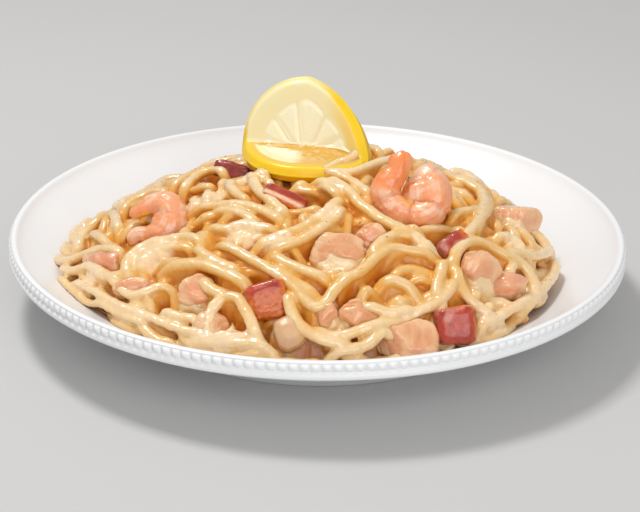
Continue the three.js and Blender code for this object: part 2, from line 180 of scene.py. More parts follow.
def mound_height(x, y):
    """Height of the heap's surface."""
    dx = (x - MOUND["x"]) / MOUND["half_width"]
    dy = (y - MOUND["y"]) / MOUND["half_depth"]
    reach = np.minimum(1.0, np.hypot(dx, dy))
    front = -dy / np.maximum(reach, 1e-6)
    rise = (1 - reach ** 2.1) ** (0.76 + 0.14 * front)
    hump = HUMP["rise"] * np.exp(-((x - HUMP["x"]) ** 2 + (y - HUMP["y"]) ** 2) / (2 * HUMP["spread"] ** 2))
    return MOUND["edge"] + (MOUND["top"] - MOUND["edge"]) * rise * (1 + MOUND["lean"] * dx) + hump


def deselect():
    if bpy.context.object and bpy.context.object.mode != "OBJECT":
        bpy.ops.object.mode_set(mode="OBJECT")
    bpy.ops.object.select_all(action="DESELECT")


def pick(obj):
    deselect()
    obj.hide_viewport = False
    obj.select_set(True)
    bpy.context.view_layer.objects.active = obj
    return obj


def add_mesh(name, points, faces):
    """A new mesh object from points in mm."""
    mesh = bpy.data.meshes.new(name)
    mesh.from_pydata((np.asarray(points, float) * MM).tolist(), [], faces)
    mesh.update()
    obj = bpy.data.objects.new(name, mesh)
    bpy.context.scene.collection.objects.link(obj)
    return obj


def finish_with(obj, kind, **settings):
    """Adds one modifier and applies it."""
    pick(obj)
    modifier = obj.modifiers.new(kind.title(), kind)
    for key, value in settings.items():
        setattr(modifier, key, value)
    bpy.ops.object.modifier_apply(modifier=modifier.name)
    return obj


def rework(obj, voxel, rounds):
    """Joins a piece into one closed skin and rounds it."""
    finish_with(obj, "REMESH", mode="VOXEL", voxel_size=voxel)
    finish_with(obj, "SMOOTH", factor=0.5, iterations=rounds)


def in_edit_mode(obj, *steps):
    """Runs mesh operators, each given as its name and settings, on the whole of a piece."""
    pick(obj)
    bpy.ops.object.mode_set(mode="EDIT")
    for name, settings in steps:
        bpy.ops.mesh.select_all(action="SELECT")
        getattr(bpy.ops.mesh, name)(**settings)
    bpy.ops.object.mode_set(mode="OBJECT")


def vertex_values(obj, key):
    values = np.empty(len(obj.data.vertices) * 3, np.float32)
    obj.data.vertices.foreach_get(key, values)
    return values.reshape(-1, 3).astype(float)


def points_of(obj):
    """The piece's points in mm."""
    return vertex_values(obj, "co") / MM


def move_points(obj, points):
    """Moves the piece's points to new places in mm."""
    obj.data.vertices.foreach_set("co", (np.asarray(points) * MM).astype(np.float32).ravel())
    obj.data.update()


def normals_of(obj):
    return vertex_values(obj, "normal")


def store(obj, name, columns):
    """Keeps up to three masks, one in each channel, as a colour attribute of the points."""
    layer = obj.data.attributes.new(name, "FLOAT_COLOR", "POINT")
    full = np.ones((len(obj.data.vertices), 4), np.float32)
    full[:, :3] = 0
    for i, column in enumerate(columns):
        full[:, i] = column
    layer.data.foreach_set("color", full.ravel())


def settle(obj, node, material, rounded=True):
    """Gives a finished piece its shading and its material, hangs it on its body and hides the CAD node it
    stands for.
    """
    if rounded:
        obj.data.shade_smooth()
    obj.data.materials.clear()
    obj.data.materials.append(material)
    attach(obj, "root")
    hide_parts(node)


def ripple(points, scale, seed):
    """Smooth noise from -1 to 1 at points in mm."""
    shift = Vector((seed * 7.31, seed * 3.17, seed * 5.77))
    return np.array([noise.noise(Vector(p) / scale + shift) for p in points.tolist()])


# ---------------------------------------------------------------- the heap of noodles
def resample(route, step):
    """Evenly spaced points along a smooth curve through the route's points."""
    p = np.asarray(route, float)
    ends = np.vstack([2 * p[0] - p[1], p, 2 * p[-1] - p[-2]])
    t = np.linspace(0, 1, 12, endpoint=False)[:, None]
    parts = []
    for a, b, c, d in zip(ends[:-3], ends[1:-2], ends[2:-1], ends[3:]):
        parts.append(0.5 * (2 * b + (c - a) * t + (2 * a - 5 * b + 4 * c - d) * t ** 2
                            + (3 * b - a - 3 * c + d) * t ** 3))
    fine = np.vstack(parts + [p[-1:]])
    along = np.concatenate([[0], np.cumsum(np.linalg.norm(np.diff(fine, axis=0), axis=1))])
    count = max(4, int(round(along[-1] / step)) + 1)
    at = np.linspace(0, along[-1], count)
    return np.stack([np.interp(at, along, fine[:, i]) for i in range(p.shape[1])], 1)


def disc(radius):
    """Cell offsets inside a radius in mm, with their distances."""
    n = int(radius / CELL) + 1
    dy, dx = np.mgrid[-n:n + 1, -n:n + 1]
    d = np.hypot(dx, dy) * CELL
    keep = d <= radius
    return dx[keep], dy[keep], d[keep]


def cells(x, y):
    """Row and column of the cell at points in mm."""
    col = np.clip(np.round((x - LEFT) / CELL).astype(int), 0, COLUMNS - 1)
    row = np.clip(np.round((y - NEAR) / CELL).astype(int), 0, ROWS - 1)
    return row, col


def cells_round(x, y, radius):
    """Rows and columns of the cells within a radius of points, with their distances."""
    dx, dy, d = disc(radius)
    row, col = cells(x, y)
    return np.clip(row[:, None] + dy, 0, ROWS - 1), np.clip(col[:, None] + dx, 0, COLUMNS - 1), d


def look_up(grid, x, y):
    """The grid's value at points, blended between cells."""
    fx = np.clip((x - LEFT) / CELL, 0, COLUMNS - 1.001)
    fy = np.clip((y - NEAR) / CELL, 0, ROWS - 1.001)
    ix, iy = fx.astype(int), fy.astype(int)
    tx, ty = fx - ix, fy - iy
    top = grid[iy, ix] * (1 - tx) + grid[iy, ix + 1] * tx
    low = grid[iy + 1, ix] * (1 - tx) + grid[iy + 1, ix + 1] * tx
    return top * (1 - ty) + low * ty


def soften(grid, width):
    """Blurs a grid over a width in mm."""
    n = max(1, int(width / CELL) // 2)
    out = grid
    for axis in (0, 1):
        for _ in range(2):
            pad = [(0, 0), (0, 0)]
            pad[axis] = (n + 1, n)
            c = np.cumsum(np.pad(out, pad, mode="edge"), axis=axis)
            size = out.shape[axis]
            high = np.take(c, np.arange(2 * n + 1, 2 * n + 1 + size), axis=axis)
            low = np.take(c, np.arange(0, size), axis=axis)
            out = (high - low) / (2 * n + 1)
    return out


def widen(grid, radius):
    """The highest value within a radius of each cell."""
    n = int(radius / CELL)
    pad = np.pad(grid, n, mode="edge")
    out = grid.copy()
    dx, dy, _ = disc(radius)
    for c, r in zip(dx, dy):
        if abs(c) <= n and abs(r) <= n:
            out = np.maximum(out, pad[n + r:n + r + grid.shape[0], n + c:n + c + grid.shape[1]])
    return out


def close_grooves(grid, radius):
    """Fills grooves narrower than twice the radius, as a thick sauce does."""
    return -widen(-widen(grid, radius), radius)


def top_of_node(node):
    """Highest and lowest height of a CAD node over each cell."""
    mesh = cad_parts[node].data
    mesh.calc_loop_triangles()
    co = np.array([v.co for v in mesh.vertices], float) / MM
    high = np.full((ROWS, COLUMNS), -NO_LIMIT)
    low = np.full((ROWS, COLUMNS), NO_LIMIT)
    for tri in mesh.loop_triangles:
        a, b, c = co[list(tri.vertices)]
        n = int(max(np.linalg.norm(b - a), np.linalg.norm(c - a), np.linalg.norm(c - b)) / 0.4) + 2
        u, v = np.meshgrid(np.linspace(0, 1, n), np.linspace(0, 1, n))
        keep = u + v <= 1
        u, v = u[keep][:, None], v[keep][:, None]
        p = a + u * (b - a) + v * (c - a)
        row, col = cells(p[:, 0], p[:, 1])
        np.maximum.at(high, (row, col), p[:, 2])
        np.minimum.at(low, (row, col), p[:, 2])
    return high, low


def even_out(z, times):
    """Smooths heights along a strand, in place, all but its ends."""
    for _ in range(times):
        z[1:-1] = 0.25 * z[:-2] + 0.5 * z[1:-1] + 0.25 * z[2:]


class Heap:
    """A height map in mm on which strands are laid one after another."""

    def __init__(self, seed):
        self.rng = np.random.default_rng(seed)
        gx, gy = np.meshgrid(LEFT + CELL * np.arange(COLUMNS), NEAR + CELL * np.arange(ROWS))
        self.gx, self.gy = gx, gy
        self.floor = plate_inside(np.hypot(gx, gy))
        self.reach = mound_reach(gx, gy)
        self.target = np.where(self.reach < 1, mound_height(gx, gy), self.floor)
        self.pit = np.zeros(gx.shape)
        for x, y, radius in DEEP_GAPS:
            self.pit = np.maximum(self.pit, smooth(1.6 - np.hypot(gx - x, gy - y) / radius))
        taper = 1 - smooth(gy / 50) * (1 - smooth((HEAP_EDGE - self.reach) / 0.4))
        inner = self.floor + (self.target - CORE_DEPTH - PIT_DEPTH * self.pit - self.floor) * taper
        self.height = np.maximum(self.floor, np.where(self.reach < HEAP_EDGE, inner, 0))
        self.core = self.height.copy()
        self.ceiling = np.where(self.pit > 0.5, self.target - PIT_DEPTH, NO_LIMIT)
        self.owner = np.zeros(gx.shape, int)
        self.strands = []

    def lay(self, route, half, tips="", over=3.4, crowded=None):
        """Lays one strand down on what is there; its ends sink in, apart from those that show as tips."""
        path = resample(route, PATH_STEP)
        rows, cols, d = cells_round(path[:, 0], path[:, 1], half * 0.8)
        under = (self.height[rows, cols] - 0.25 * d).max(axis=1)
        need = under + NEST * half
        z = need.copy()
        for _ in range(SETTLING):
            middle = 0.5 * (z[:-2] + z[2:]) - SAG
            z[1:-1] = np.maximum(need[1:-1], middle)
            z[0] = max(need[0], z[1] - DROP)
            z[-1] = max(need[-1], z[-2] - DROP)
        even_out(z, 4)
        limit = np.minimum(look_up(self.target, path[:, 0], path[:, 1]) + over,
                           self.ceiling[rows, cols].min(axis=1)) - half
        excess = z - limit
        if crowded is not None:
            free = excess < crowded
            if not free.all():
                start, end = self.longest_run(free)
                if end - start < SHORTEST:
                    return
                if end - start < len(path) - 2:
                    return self.lay(path[start:end], half, tips, over, crowded + 0.6)
        z = np.where(excess > 0, limit + 1.2 * (1 - np.exp(-np.maximum(excess, 0) / 4)), z)
        even_out(z, 3)
        along = np.arange(len(path)) * PATH_STEP
        for end, far in (("s", along), ("e", along[::-1])):
            if end not in tips:
                z -= END_SINK * smooth(1 - far / END_LENGTH)
        ground = look_up(self.floor, path[:, 0], path[:, 1]) + half * 0.9
        z = np.maximum(z, ground)
        self.strands.append((np.column_stack([path, z]), half * STRAND_WIDTH, half))
        self.stamp(path, z, half * STRAND_WIDTH, half)

    def stamp(self, path, z, half, thick):
        """Raises the height map to a strand's top."""
        fine = np.linspace(0, len(path) - 1, 2 * len(path))
        x = np.interp(fine, np.arange(len(path)), path[:, 0])
        y = np.interp(fine, np.arange(len(path)), path[:, 1])
        top = np.interp(fine, np.arange(len(path)), z)
        rows, cols, d = cells_round(x, y, half)
        value = top[:, None] + thick * np.sqrt(np.maximum(0, 1 - (d / half) ** 2))
        before = self.height.copy()
        np.maximum.at(self.height, (rows.ravel(), cols.ravel()), value.ravel())
        self.owner[self.height > before] = len(self.strands)

    def wander(self, start, heading, length, tightest):
        """A random smooth route that stays inside the heap's edge."""
        step, bend = 3.0, self.rng.normal(0, 0.02)
        p = np.array(start, float)
        out = [p.copy()]
        for _ in range(int(length / step)):
            bend = np.clip(bend * 0.93 + self.rng.normal(0, 0.011), -1 / tightest, 1 / tightest)
            ahead = p + 9 * np.array([math.cos(heading), math.sin(heading)])
            if mound_reach(*ahead) > 0.95:
                inward = math.atan2(MOUND["y"] - p[1], MOUND["x"] - p[0])
                turn = (inward - heading + math.pi) % (2 * math.pi) - math.pi
                bend = math.copysign(1 / 13, turn)
            heading += bend * step
            p = p + step * np.array([math.cos(heading), math.sin(heading)])
            out.append(p.copy())
        return np.array(out)

    def fill(self, target, most, limit, over, lengths=(60, 150), tightest=11.0, bundle=(2, 5)):
        """Lays bundles of strands, each time where the heap is lowest against its target."""
        for _ in range(most):
            room = (target - self.height)[::COARSE, ::COARSE]
            room = np.where(self.reach[::COARSE, ::COARSE] < HEAP_EDGE, room, -10)
            open_cells = np.argwhere(room > limit)
            if len(open_cells) < 12:
                break
            best, best_room = None, -1e9
            for _ in range(TRIES):
                r, c = open_cells[self.rng.integers(len(open_cells))] * COARSE
                start = (self.gx[r, c], self.gy[r, c])
                half_length = self.rng.uniform(*lengths) / 2
                heading = self.rng.uniform(0, 2 * math.pi)
                one = self.wander(start, heading, half_length, tightest)
                other = self.wander(start, heading + math.pi, half_length, tightest)
                route = np.vstack([other[::-1], one[1:]])
                rows, cols = cells(route[:, 0], route[:, 1])
                score = np.minimum(target - self.height, 6)[rows, cols].mean()
                score -= 4 * (mound_reach(route[:, 0], route[:, 1]) > 0.985).mean()
                if score > best_room:
                    best, best_room = route, score
            tangent = np.gradient(best, axis=0)
            across = np.column_stack([-tangent[:, 1], tangent[:, 0]])
            across /= np.linalg.norm(across, axis=1)[:, None] + 1e-9
            count = self.rng.integers(*bundle)
            for k in range(count):
                sway = self.rng.normal(0, 1.2)
                drift = sway * np.sin(np.linspace(0, math.pi * self.rng.uniform(1, 2.5), len(best)))
                spread = (k - (count - 1) / 2) * BUNDLE_PITCH
                route = best + across * (spread + drift)[:, None]
                first = self.rng.integers(0, 4)
                route = route[first:len(route) - self.rng.integers(0, 4)]
                inside = mound_reach(route[:, 0], route[:, 1]) < 1.0
                if inside.sum() >= 5:
                    start, end = self.longest_run(inside)
                    if end - start >= 5:
                        self.lay(route[start:end], self.rng.uniform(1.9, 2.3), over=over, crowded=0.8)

    @staticmethod
    def longest_run(good):
        """Where the longest unbroken run of good points starts and ends."""
        best, start = (0, 0), None
        for i, ok in enumerate(list(good) + [False]):
            if ok and start is None:
                start = i
            if not ok and start is not None:
                if i - start > best[1] - best[0]:
                    best = (start, i)
                start = None
        return best


def ring_faces(rings, sides):
    """The four-sided faces between rings of points that follow each other."""
    i = np.arange(rings - 1)[:, None] * sides
    k = np.arange(sides)[None, :]
    k2 = (k + 1) % sides
    return np.stack([i + k, i + sides + k, i + sides + k2, i + k2], 2).reshape(-1, 4)


def tube(path, wide, thick, sides=12):
    """Points and faces of one strand with rounded ends."""
    tangent = np.gradient(path, axis=0)
    tangent /= np.linalg.norm(tangent, axis=1)[:, None]
    side = np.cross(tangent, [0, 0, 1.0])
    side /= np.linalg.norm(side, axis=1)[:, None] + 1e-9
    up = np.cross(side, tangent)
    far = np.arange(len(path)) * PATH_STEP
    far = np.minimum(far, far[::-1])
    size = np.sqrt(np.clip(1 - (1 - np.minimum(far, wide) / wide) ** 2, 0.12, 1))
    turn = np.linspace(0, 2 * math.pi, sides, endpoint=False)
    ring = (np.cos(turn)[None, :, None] * side[:, None, :] * wide
            + np.sin(turn)[None, :, None] * up[:, None, :] * thick) * size[:, None, None]
    points = (path[:, None, :] + ring).reshape(-1, 3)
    faces = ring_faces(len(path), sides)[:, ::-1].tolist()
    faces.append(list(range(sides)))
    faces.append([(len(path) - 1) * sides + j for j in range(sides)][::-1])
    return points, faces


def bed_mesh(heap, top, keep):
    """A closed slab of sauce and packed noodles between the plate and a height map, over the kept cells."""
    step = 2
    rows = np.arange(0, ROWS - step, step)
    cols = np.arange(0, COLUMNS - step, step)
    mask = keep[np.ix_(rows, cols)]
    number = -np.ones((len(rows) + 1, len(cols) + 1), int)
    faces_at = np.argwhere(mask)
    used = np.zeros_like(number, bool)
    for dr in (0, 1):
        for dc in (0, 1):
            used[faces_at[:, 0] + dr, faces_at[:, 1] + dc] = True
    number[used] = np.arange(used.sum())
    at = np.argwhere(used) * step
    at[:, 0] = np.minimum(at[:, 0], ROWS - 1)
    at[:, 1] = np.minimum(at[:, 1], COLUMNS - 1)
    x, y = heap.gx[at[:, 0], at[:, 1]], heap.gy[at[:, 0], at[:, 1]]
    low = heap.floor[at[:, 0], at[:, 1]] + 0.15
    high = np.maximum(top[at[:, 0], at[:, 1]], low + 0.3)
    n = len(at)
    points = np.vstack([np.column_stack([x, y, high]), np.column_stack([x, y, low])])
    r, c = faces_at[:, 0], faces_at[:, 1]
    a, b, d, e = number[r, c], number[r, c + 1], number[r + 1, c + 1], number[r + 1, c]
    faces = np.column_stack([a, b, d, e]).tolist() + (np.column_stack([e, d, b, a]) + n).tolist()
    padded = np.pad(mask, 1)
    for dr, dc, first, second in ((-1, 0, (0, 0), (0, 1)), (1, 0, (1, 1), (1, 0)),
                                  (0, -1, (1, 0), (0, 0)), (0, 1, (0, 1), (1, 1))):
        edge = mask & ~padded[1 + dr:padded.shape[0] - 1 + dr, 1 + dc:padded.shape[1] - 1 + dc]
        er, ec = np.nonzero(edge)
        p, q = number[er + first[0], ec + first[1]], number[er + second[0], ec + second[1]]
        faces += np.column_stack([q, p, p + n, q + n]).tolist()
    return points, faces


def lay_strands(heap, toppings, sizes):
    """Fills the heap with random strands, lays the ones on top, and returns the height of what they cover."""
    on_top = np.zeros(heap.gx.shape)
    for route, half, _ in TOP_STRANDS:
        path = resample(route, 1.5)
        rows, cols, _ = cells_round(path[:, 0], path[:, 1], 3.5)
        on_top[rows, cols] = 1
    for name, (high, low) in toppings.items():
        limit = low + 1.5 if name == "lemon_slice" else np.maximum(low + 1.0, high - 5)
        heap.ceiling = np.where(high > 0, np.minimum(heap.ceiling, limit), heap.ceiling)
    target = heap.target - 0.5 - TOP_ROOM * soften(on_top, 6) - 7 * heap.pit
    heap.fill(target, sizes.bundles, limit=3.2, over=2.2)
    heap.fill(target, sizes.loose, limit=2.3, over=2.6, lengths=(40, 90), tightest=8.0, bundle=(1, 3))
    filled, owner = heap.height.copy(), heap.owner.copy()
    heap.ceiling[:] = NO_LIMIT
    for name, (high, low) in toppings.items():
        if name == "lemon_slice":
            high = np.where(heap.gy < LYING_HALF, high, -NO_LIMIT)
        heap.height = np.maximum(heap.height, high - 0.6)
    for route, half, tips in TOP_STRANDS:
        heap.lay(route, half, tips)
    return np.where(heap.owner != owner, heap.height, filled)


def uneven_grid(heap):
    """Broad unevenness over the heap, from about -1 to 1."""
    gx, gy = heap.gx[::COARSE, ::COARSE], heap.gy[::COARSE, ::COARSE]
    coarse = np.column_stack([gx.ravel(), gy.ravel(), np.zeros(gx.size)])
    out = np.zeros(heap.gx.shape)
    for scale, seed, weight in ((17, 1, 0.6), (8, 2, 0.4)):
        field = ripple(coarse, scale, seed).reshape(gx.shape)
        field = np.repeat(np.repeat(field, COARSE, 0), COARSE, 1)[:ROWS, :COLUMNS]
        out += weight * soften(field, 6)
    return out


def spread_sauce(heap, toppings, strands_top):
    """Heights of the bed of sauce between the strands, and how much of it is thick sauce."""
    grain = uneven_grid(heap)
    rich = smooth((grain - 0.06) / 0.25)
    lean_bed = close_grooves(strands_top, 1.0) - LEAN_SINK
    rich_bed = close_grooves(strands_top, 2.0) - RICH_SINK
    bed = lean_bed * (1 - rich) + rich_bed * rich
    bed = soften(np.maximum(bed, heap.core), 1.2)
    cover = np.full(heap.gx.shape, NO_LIMIT)
    for high, low in toppings.values():
        cover = np.where(high > 0, np.minimum(cover, np.maximum(low + 1, high - 3)), cover)
    bed = np.minimum(bed, cover)
    sunk = np.max([high for name, (high, _) in toppings.items() if name.startswith(("fish", "mushroom"))],
                  axis=0)
    brim = soften(widen(np.maximum(sunk, 0), 2.4), 1.0) - BRIM_DROP
    bed = np.where(sunk > 0, np.minimum(np.maximum(bed, brim), sunk - CHUNK_SHOWS), np.maximum(bed, brim))
    fade = smooth((0.945 - heap.reach) / 0.1)
    bed = heap.floor + 0.4 + (bed - heap.floor - 0.4) * fade
    covering = soften(close_grooves(strands_top, 4), 1.6)
    beside = soften(-widen(-np.minimum(cover, heap.target + 10), 2.0), 2.0)
    pool = 0.35 * smooth((heap.reach - 0.85) / 0.1)
    for x, y, a, b, rise, under in ([(*spot, covering) for spot in SAUCE_POOLS]
                                    + [(*spot, np.maximum(covering, heap.target)) for spot in SAUCE_LUMPS]):
        near = np.hypot((heap.gx - x) / a, (heap.gy - y) / b) + 0.45 * grain
        dome = under + rise - 6 * (1 - np.sqrt(np.clip(1 - near ** 2, 0, 1)))
        bed = np.where(near < 1, np.maximum(bed, np.minimum(dome, beside)), bed)
        pool = np.maximum(pool, smooth((1.02 - near) / 0.25))
    return bed, pool


def painted_shade_measures(heap, strands_top):
    """The surface that depth in the gaps is measured from, and how much that depth counts on slopes."""
    # painted shade: the deeper a point lies under this surface, the darker and more orange its colour is
    # painted
    near_top = soften(widen(strands_top, 2.4), 2.4)
    far_top = soften(widen(strands_top, 6), 6)
    envelope = np.maximum(near_top, 0.55 * near_top + 0.45 * far_top)
    steep_y, steep_x = np.gradient(soften(envelope, 4), CELL)
    level = (1 - 0.5 * smooth((heap.reach - 0.72) / 0.2) * (1 - heap.pit)) / (1 + steep_x ** 2 + steep_y ** 2)
    return envelope, level


NOODLES = ("noodles_back", "noodles_left", "noodles_right")
BACK_FROM, RIGHT_FROM = 8, -12  # where the back piece meets the other two, and those two each other
OVERLAP = 8  # width over which the sauce of one piece runs on under the next
DEEPEST_SHADE_GAP = 10  # depth of a gap that takes the deepest painted shade


def build_noodles(sizes, material):
    """Joins the strands and the sauce into a few closed pieces."""
    heap = Heap(sizes.seed)
    toppings = {n: top_of_node(n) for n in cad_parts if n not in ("plate", "pasta")}
    strands_top = lay_strands(heap, toppings, sizes)
    bed, pool = spread_sauce(heap, toppings, strands_top)
    envelope, level = painted_shade_measures(heap, strands_top)
    back = heap.gy > BACK_FROM
    for name, region in zip(NOODLES, (back, ~back & (heap.gx < RIGHT_FROM), ~back & (heap.gx >= RIGHT_FROM))):
        inner = soften(region.astype(float), OVERLAP)
        keep = (inner > 0.12) & ((heap.reach < 0.94) | (pool > 0.75) & (heap.reach < 1))
        points, faces = bed_mesh(heap, bed - 3.0 * smooth((0.5 - inner) / 0.35), keep)
        all_points, all_faces, count = [points], list(faces), len(points)
        for path, wide, thick in heap.strands:
            row, col = cells(path[:, 0].mean(), path[:, 1].mean())
            if not region[row, col]:
                continue
            p, f = tube(path, wide, thick)
            all_points.append(p)
            all_faces += [[v + count for v in face] for face in f]
            count += len(p)
        obj = add_mesh(name, np.vstack(all_points), all_faces)
        rework(obj, sizes.voxel, 2)
        triangles = 2 * len(obj.data.polygons)
        if triangles > sizes.triangles:
            finish_with(obj, "DECIMATE", ratio=sizes.triangles / triangles)
        p = points_of(obj)
        # painted shade: depth under the strands' upper surface, less on slopes and at the heap's edge, sets
        # how dark the gaps are painted; the other two channels are the sauce and a random tone
        gap = (look_up(envelope, p[:, 0], p[:, 1]) - p[:, 2]) * look_up(level, p[:, 0], p[:, 1])
        sauce = look_up(pool, p[:, 0], p[:, 1])
        drape = 0.26 * ripple(p, 4.5, 21) * (1 + 1.5 * sauce) + 0.17 * ripple(p, 1.9, 22) * (1 + sauce)
        move_points(obj, p + normals_of(obj) * drape[:, None])
        row, col = cells(p[:, 0], p[:, 1])
        tone = (heap.owner[row, col] * 0.61803) % 1.0
        store(obj, "coat", (np.clip(gap / DEEPEST_SHADE_GAP, 0, 1), sauce, tone))
        settle(obj, "pasta", material)


# ---------------------------------------------------------------- the plate
FLUTES = 200
BEADS = (31.8, 35.1, 133.2, 1.35)  # their lowest and highest height, their radius and how far they stand out
# The section as radius and height: the underside and foot ring, the beads, then the lip and the inside.
PLATE_OUTLINE = [(0.01, 2), (40, 2), (77, 2), (78, 1.2), (79, 0.2), (80, 0), (84, 0), (85.2, 0.6),
                 (86.4, 2.4), (90, 4.7), (96, 8.1), (102, 11.4), (109, 15.2), (116, 19), (122, 22.4),
                 (127, 25.0), (131, 27.0), (133, 28.0), (134.1, 28.7), (134.6, 29.4), (134.6, 30.4),
                 (134.2, 31.2), (133.5, 31.7)]
PLATE_OUTLINE += [(BEADS[2], BEADS[0] + 0.1 + (BEADS[1] - BEADS[0] - 0.2) * i / 8) for i in range(9)]
PLATE_OUTLINE += [(133.3, 35.15), (133.4, 35.35), (133.2, 35.65), (132.7, 35.9), (131.9, 36),
                  (131.2, 35.8), (130.6, 35.2), (130, 34.3), (129, 33.2), (127, 31.4), (123, 28.7),
                  (119, 26), (113, 22.4), (107, 19.4), (100, 16.1), (93, 13.2), (86, 10.6), (79, 8.6),
                  (72, 7.3), (66, 6.5), (60, 6.2), (30, 6.2), (0.01, 6.2)]


def build_plate(material):
    """Spins the plate's section round and raises the row of beads under its rolled lip."""
    section = add_mesh("glazed_plate", [(r, 0, z) for r, z in PLATE_OUTLINE], [])
    links = np.array([(i, i + 1) for i in range(len(PLATE_OUTLINE) - 1)])
    section.data.edges.add(len(links))
    section.data.edges.foreach_set("vertices", links.ravel())
    section.data.update()
    turning = dict(steps=FLUTES * 8, angle=2 * math.pi, center=(0, 0, 0), axis=(0, 0, 1))
    in_edit_mode(section, ("spin", turning),
                 ("remove_doubles", dict(threshold=0.00002)), ("normals_make_consistent", dict(inside=False)))
    p = points_of(section)
    r, turn, z = np.hypot(p[:, 0], p[:, 1]), np.arctan2(p[:, 1], p[:, 0]), p[:, 2]
    low, high, base, rise = BEADS
    along = np.clip((z - low) / (high - low), 0, 1)
    row = np.where((np.abs(r - base) < 0.05) & (z > low) & (z < high), np.sin(math.pi * along) ** 0.55, 0)
    r2 = r + rise * row * np.abs(np.cos(turn * FLUTES / 2)) ** 0.55
    p[:, 0] *= r2 / np.maximum(r, 1e-6)
    p[:, 1] *= r2 / np.maximum(r, 1e-6)
    move_points(section, p)
    settle(section, "plate", material)


# ---------------------------------------------------------------- the lemon slice
LEMON = {"at": (-6.2, 18, 64.3), "left": 27.5, "right": 34.5, "half": 29.4, "slant": 1.5, "thick": 7.5,
         "fold": -2.0, "bend": 6.5, "lying": 0.05, "standing": 1.29, "turn": -0.16, "curl": 1.0,
         "curl_from": 4.0}
LEMON_HUB = (0.0, -7.0)
LEMON_ROUND = 2.6  # radius of the slice's edges and of its segments' corners
SEGMENT_WALLS = [0.1, 0.62, 1.15, 1.72, 2.2, 2.66, 3.2, 3.8, 4.45, 5.1, 5.7]


def fold_lemon(u, v, h):
    """Places a point of the flat slice, u across, v up it and h out of it, on the folded one."""
    g = LEMON
    arc = g["bend"] * (g["standing"] - g["lying"])
    s = v - g["fold"]
    part = np.clip(s / arc + 0.5, 0, 1)
    slope = g["lying"] + part * (g["standing"] - g["lying"])
    middle = (g["lying"] + g["standing"]) / 2
    over, below = np.maximum(0, s - arc / 2), np.minimum(0, s + arc / 2)
    y = (g["bend"] * (np.sin(slope) - math.sin(middle))
         + over * math.cos(g["standing"]) + below * math.cos(g["lying"]))
    z = (g["bend"] * (math.cos(middle) - np.cos(slope))
         + over * math.sin(g["standing"]) + below * math.sin(g["lying"]))
    fx, fy, fz = np.zeros_like(u), -np.sin(slope), np.cos(slope)
    bow = g["curl"] / (g["right"] - g["curl_from"])
    past = np.maximum(0, u - g["curl_from"])
    x = np.where(past > 0, g["curl_from"] + np.sin(bow * past) / bow, u)
    y = y - (1 - np.cos(bow * past)) / bow
    c, s2 = np.cos(-bow * past), np.sin(-bow * past)
    fx, fy = fx * c - fy * s2, fx * s2 + fy * c
    x, y, z = x + h * fx, y + h * fy, z + h * fz
    c, s2 = math.cos(g["turn"]), math.sin(g["turn"])
    return np.column_stack([x * c - y * s2 + g["at"][0], x * s2 + y * c + g["at"][1], z + g["at"][2]])


def lemon_edge(turn):
    """The flat slice's outline."""
    c, s = np.cos(turn), np.sin(turn)
    power = np.where((c > 0) & (s > 0), LEMON["slant"], 1.0)
    reach = np.where(c > 0, LEMON["right"], LEMON["left"])
    return reach * np.sign(c) * np.abs(c) ** power, LEMON["half"] * np.sign(s) * np.abs(s) ** power


def lemon_masks(u, v, depth):
    """Shares of pulp, peel and golden juice over the flat slice at a depth from its edge, how deep inside
    a segment each point is, and where light comes through."""
    hu, hv = LEMON_HUB
    angle = np.arctan2(v - hv, u - hu) % (2 * math.pi)
    reach = np.hypot(u - hu, v - hv)
    pith = 9.3 + 0.5 * np.sin(3 * angle + 1) + 0.4 * np.sin(7 * angle)
    away = np.abs((angle[..., None] - np.array(SEGMENT_WALLS) + math.pi) % (2 * math.pi) - math.pi)
    wall = away.min(axis=-1) * np.maximum(reach, 0.1)
    corner = np.hypot(np.maximum(0, LEMON_ROUND - wall), np.maximum(0, LEMON_ROUND - (depth - pith)))
    inside = np.minimum(LEMON_ROUND - corner, LEMON_ROUND)
    pulp = smooth((inside - 0.2) / 0.5) * smooth((reach - 1.4) / 1.0)
    lying = smooth((LEMON["fold"] + 1.5 - v) / 3.5)
    pulp = np.maximum(pulp, 0.85 * lying * smooth((depth - pith) / 0.6))
    # painted light: towards the upper left the slice is lit through from behind, so its peel band is painted
    # narrower and paler there
    lit = smooth((v - 2) / 8) * smooth((16 - u) / 14)
    peel = smooth((2.0 - 1.1 * lit - depth) / 0.7) * (1 - 0.55 * lit)
    yellow = 0.6 * smooth((u - 6) / 16) * smooth((v + 2) / 4) * smooth((pith + 0.5 - depth) / 3)
    peel = np.maximum(np.maximum(peel, yellow), lying * smooth((6.6 - depth) / 5.5))
    juice = ripple(np.column_stack([u.ravel(), 1.6 * v.ravel(), np.zeros(u.size)]), 2.6, 61).reshape(u.shape)
    gold = lying * smooth((v + 17 + 0.2 * u + 4 * juice) / 3)
    gold = gold * smooth((depth - pith + 4.5) / 3) * (0.8 + 0.5 * juice)
    white = 0.9 * lying * smooth((4 - u) / 8) * smooth((depth - 4.5) / 1.5)
    white = white * smooth((-9 - 0.2 * u - v + 3 * juice) / 3)
    # the whole lying half takes at least 0.6 of the deeper gold, so it stays darker than the standing half,
    # whose pale colours are painted light shining through
    gold = np.clip(np.maximum(gold, 0.6 * lying), 0, 1) * (1 - white)
    return pulp, peel * (1 - white), gold, inside, lit


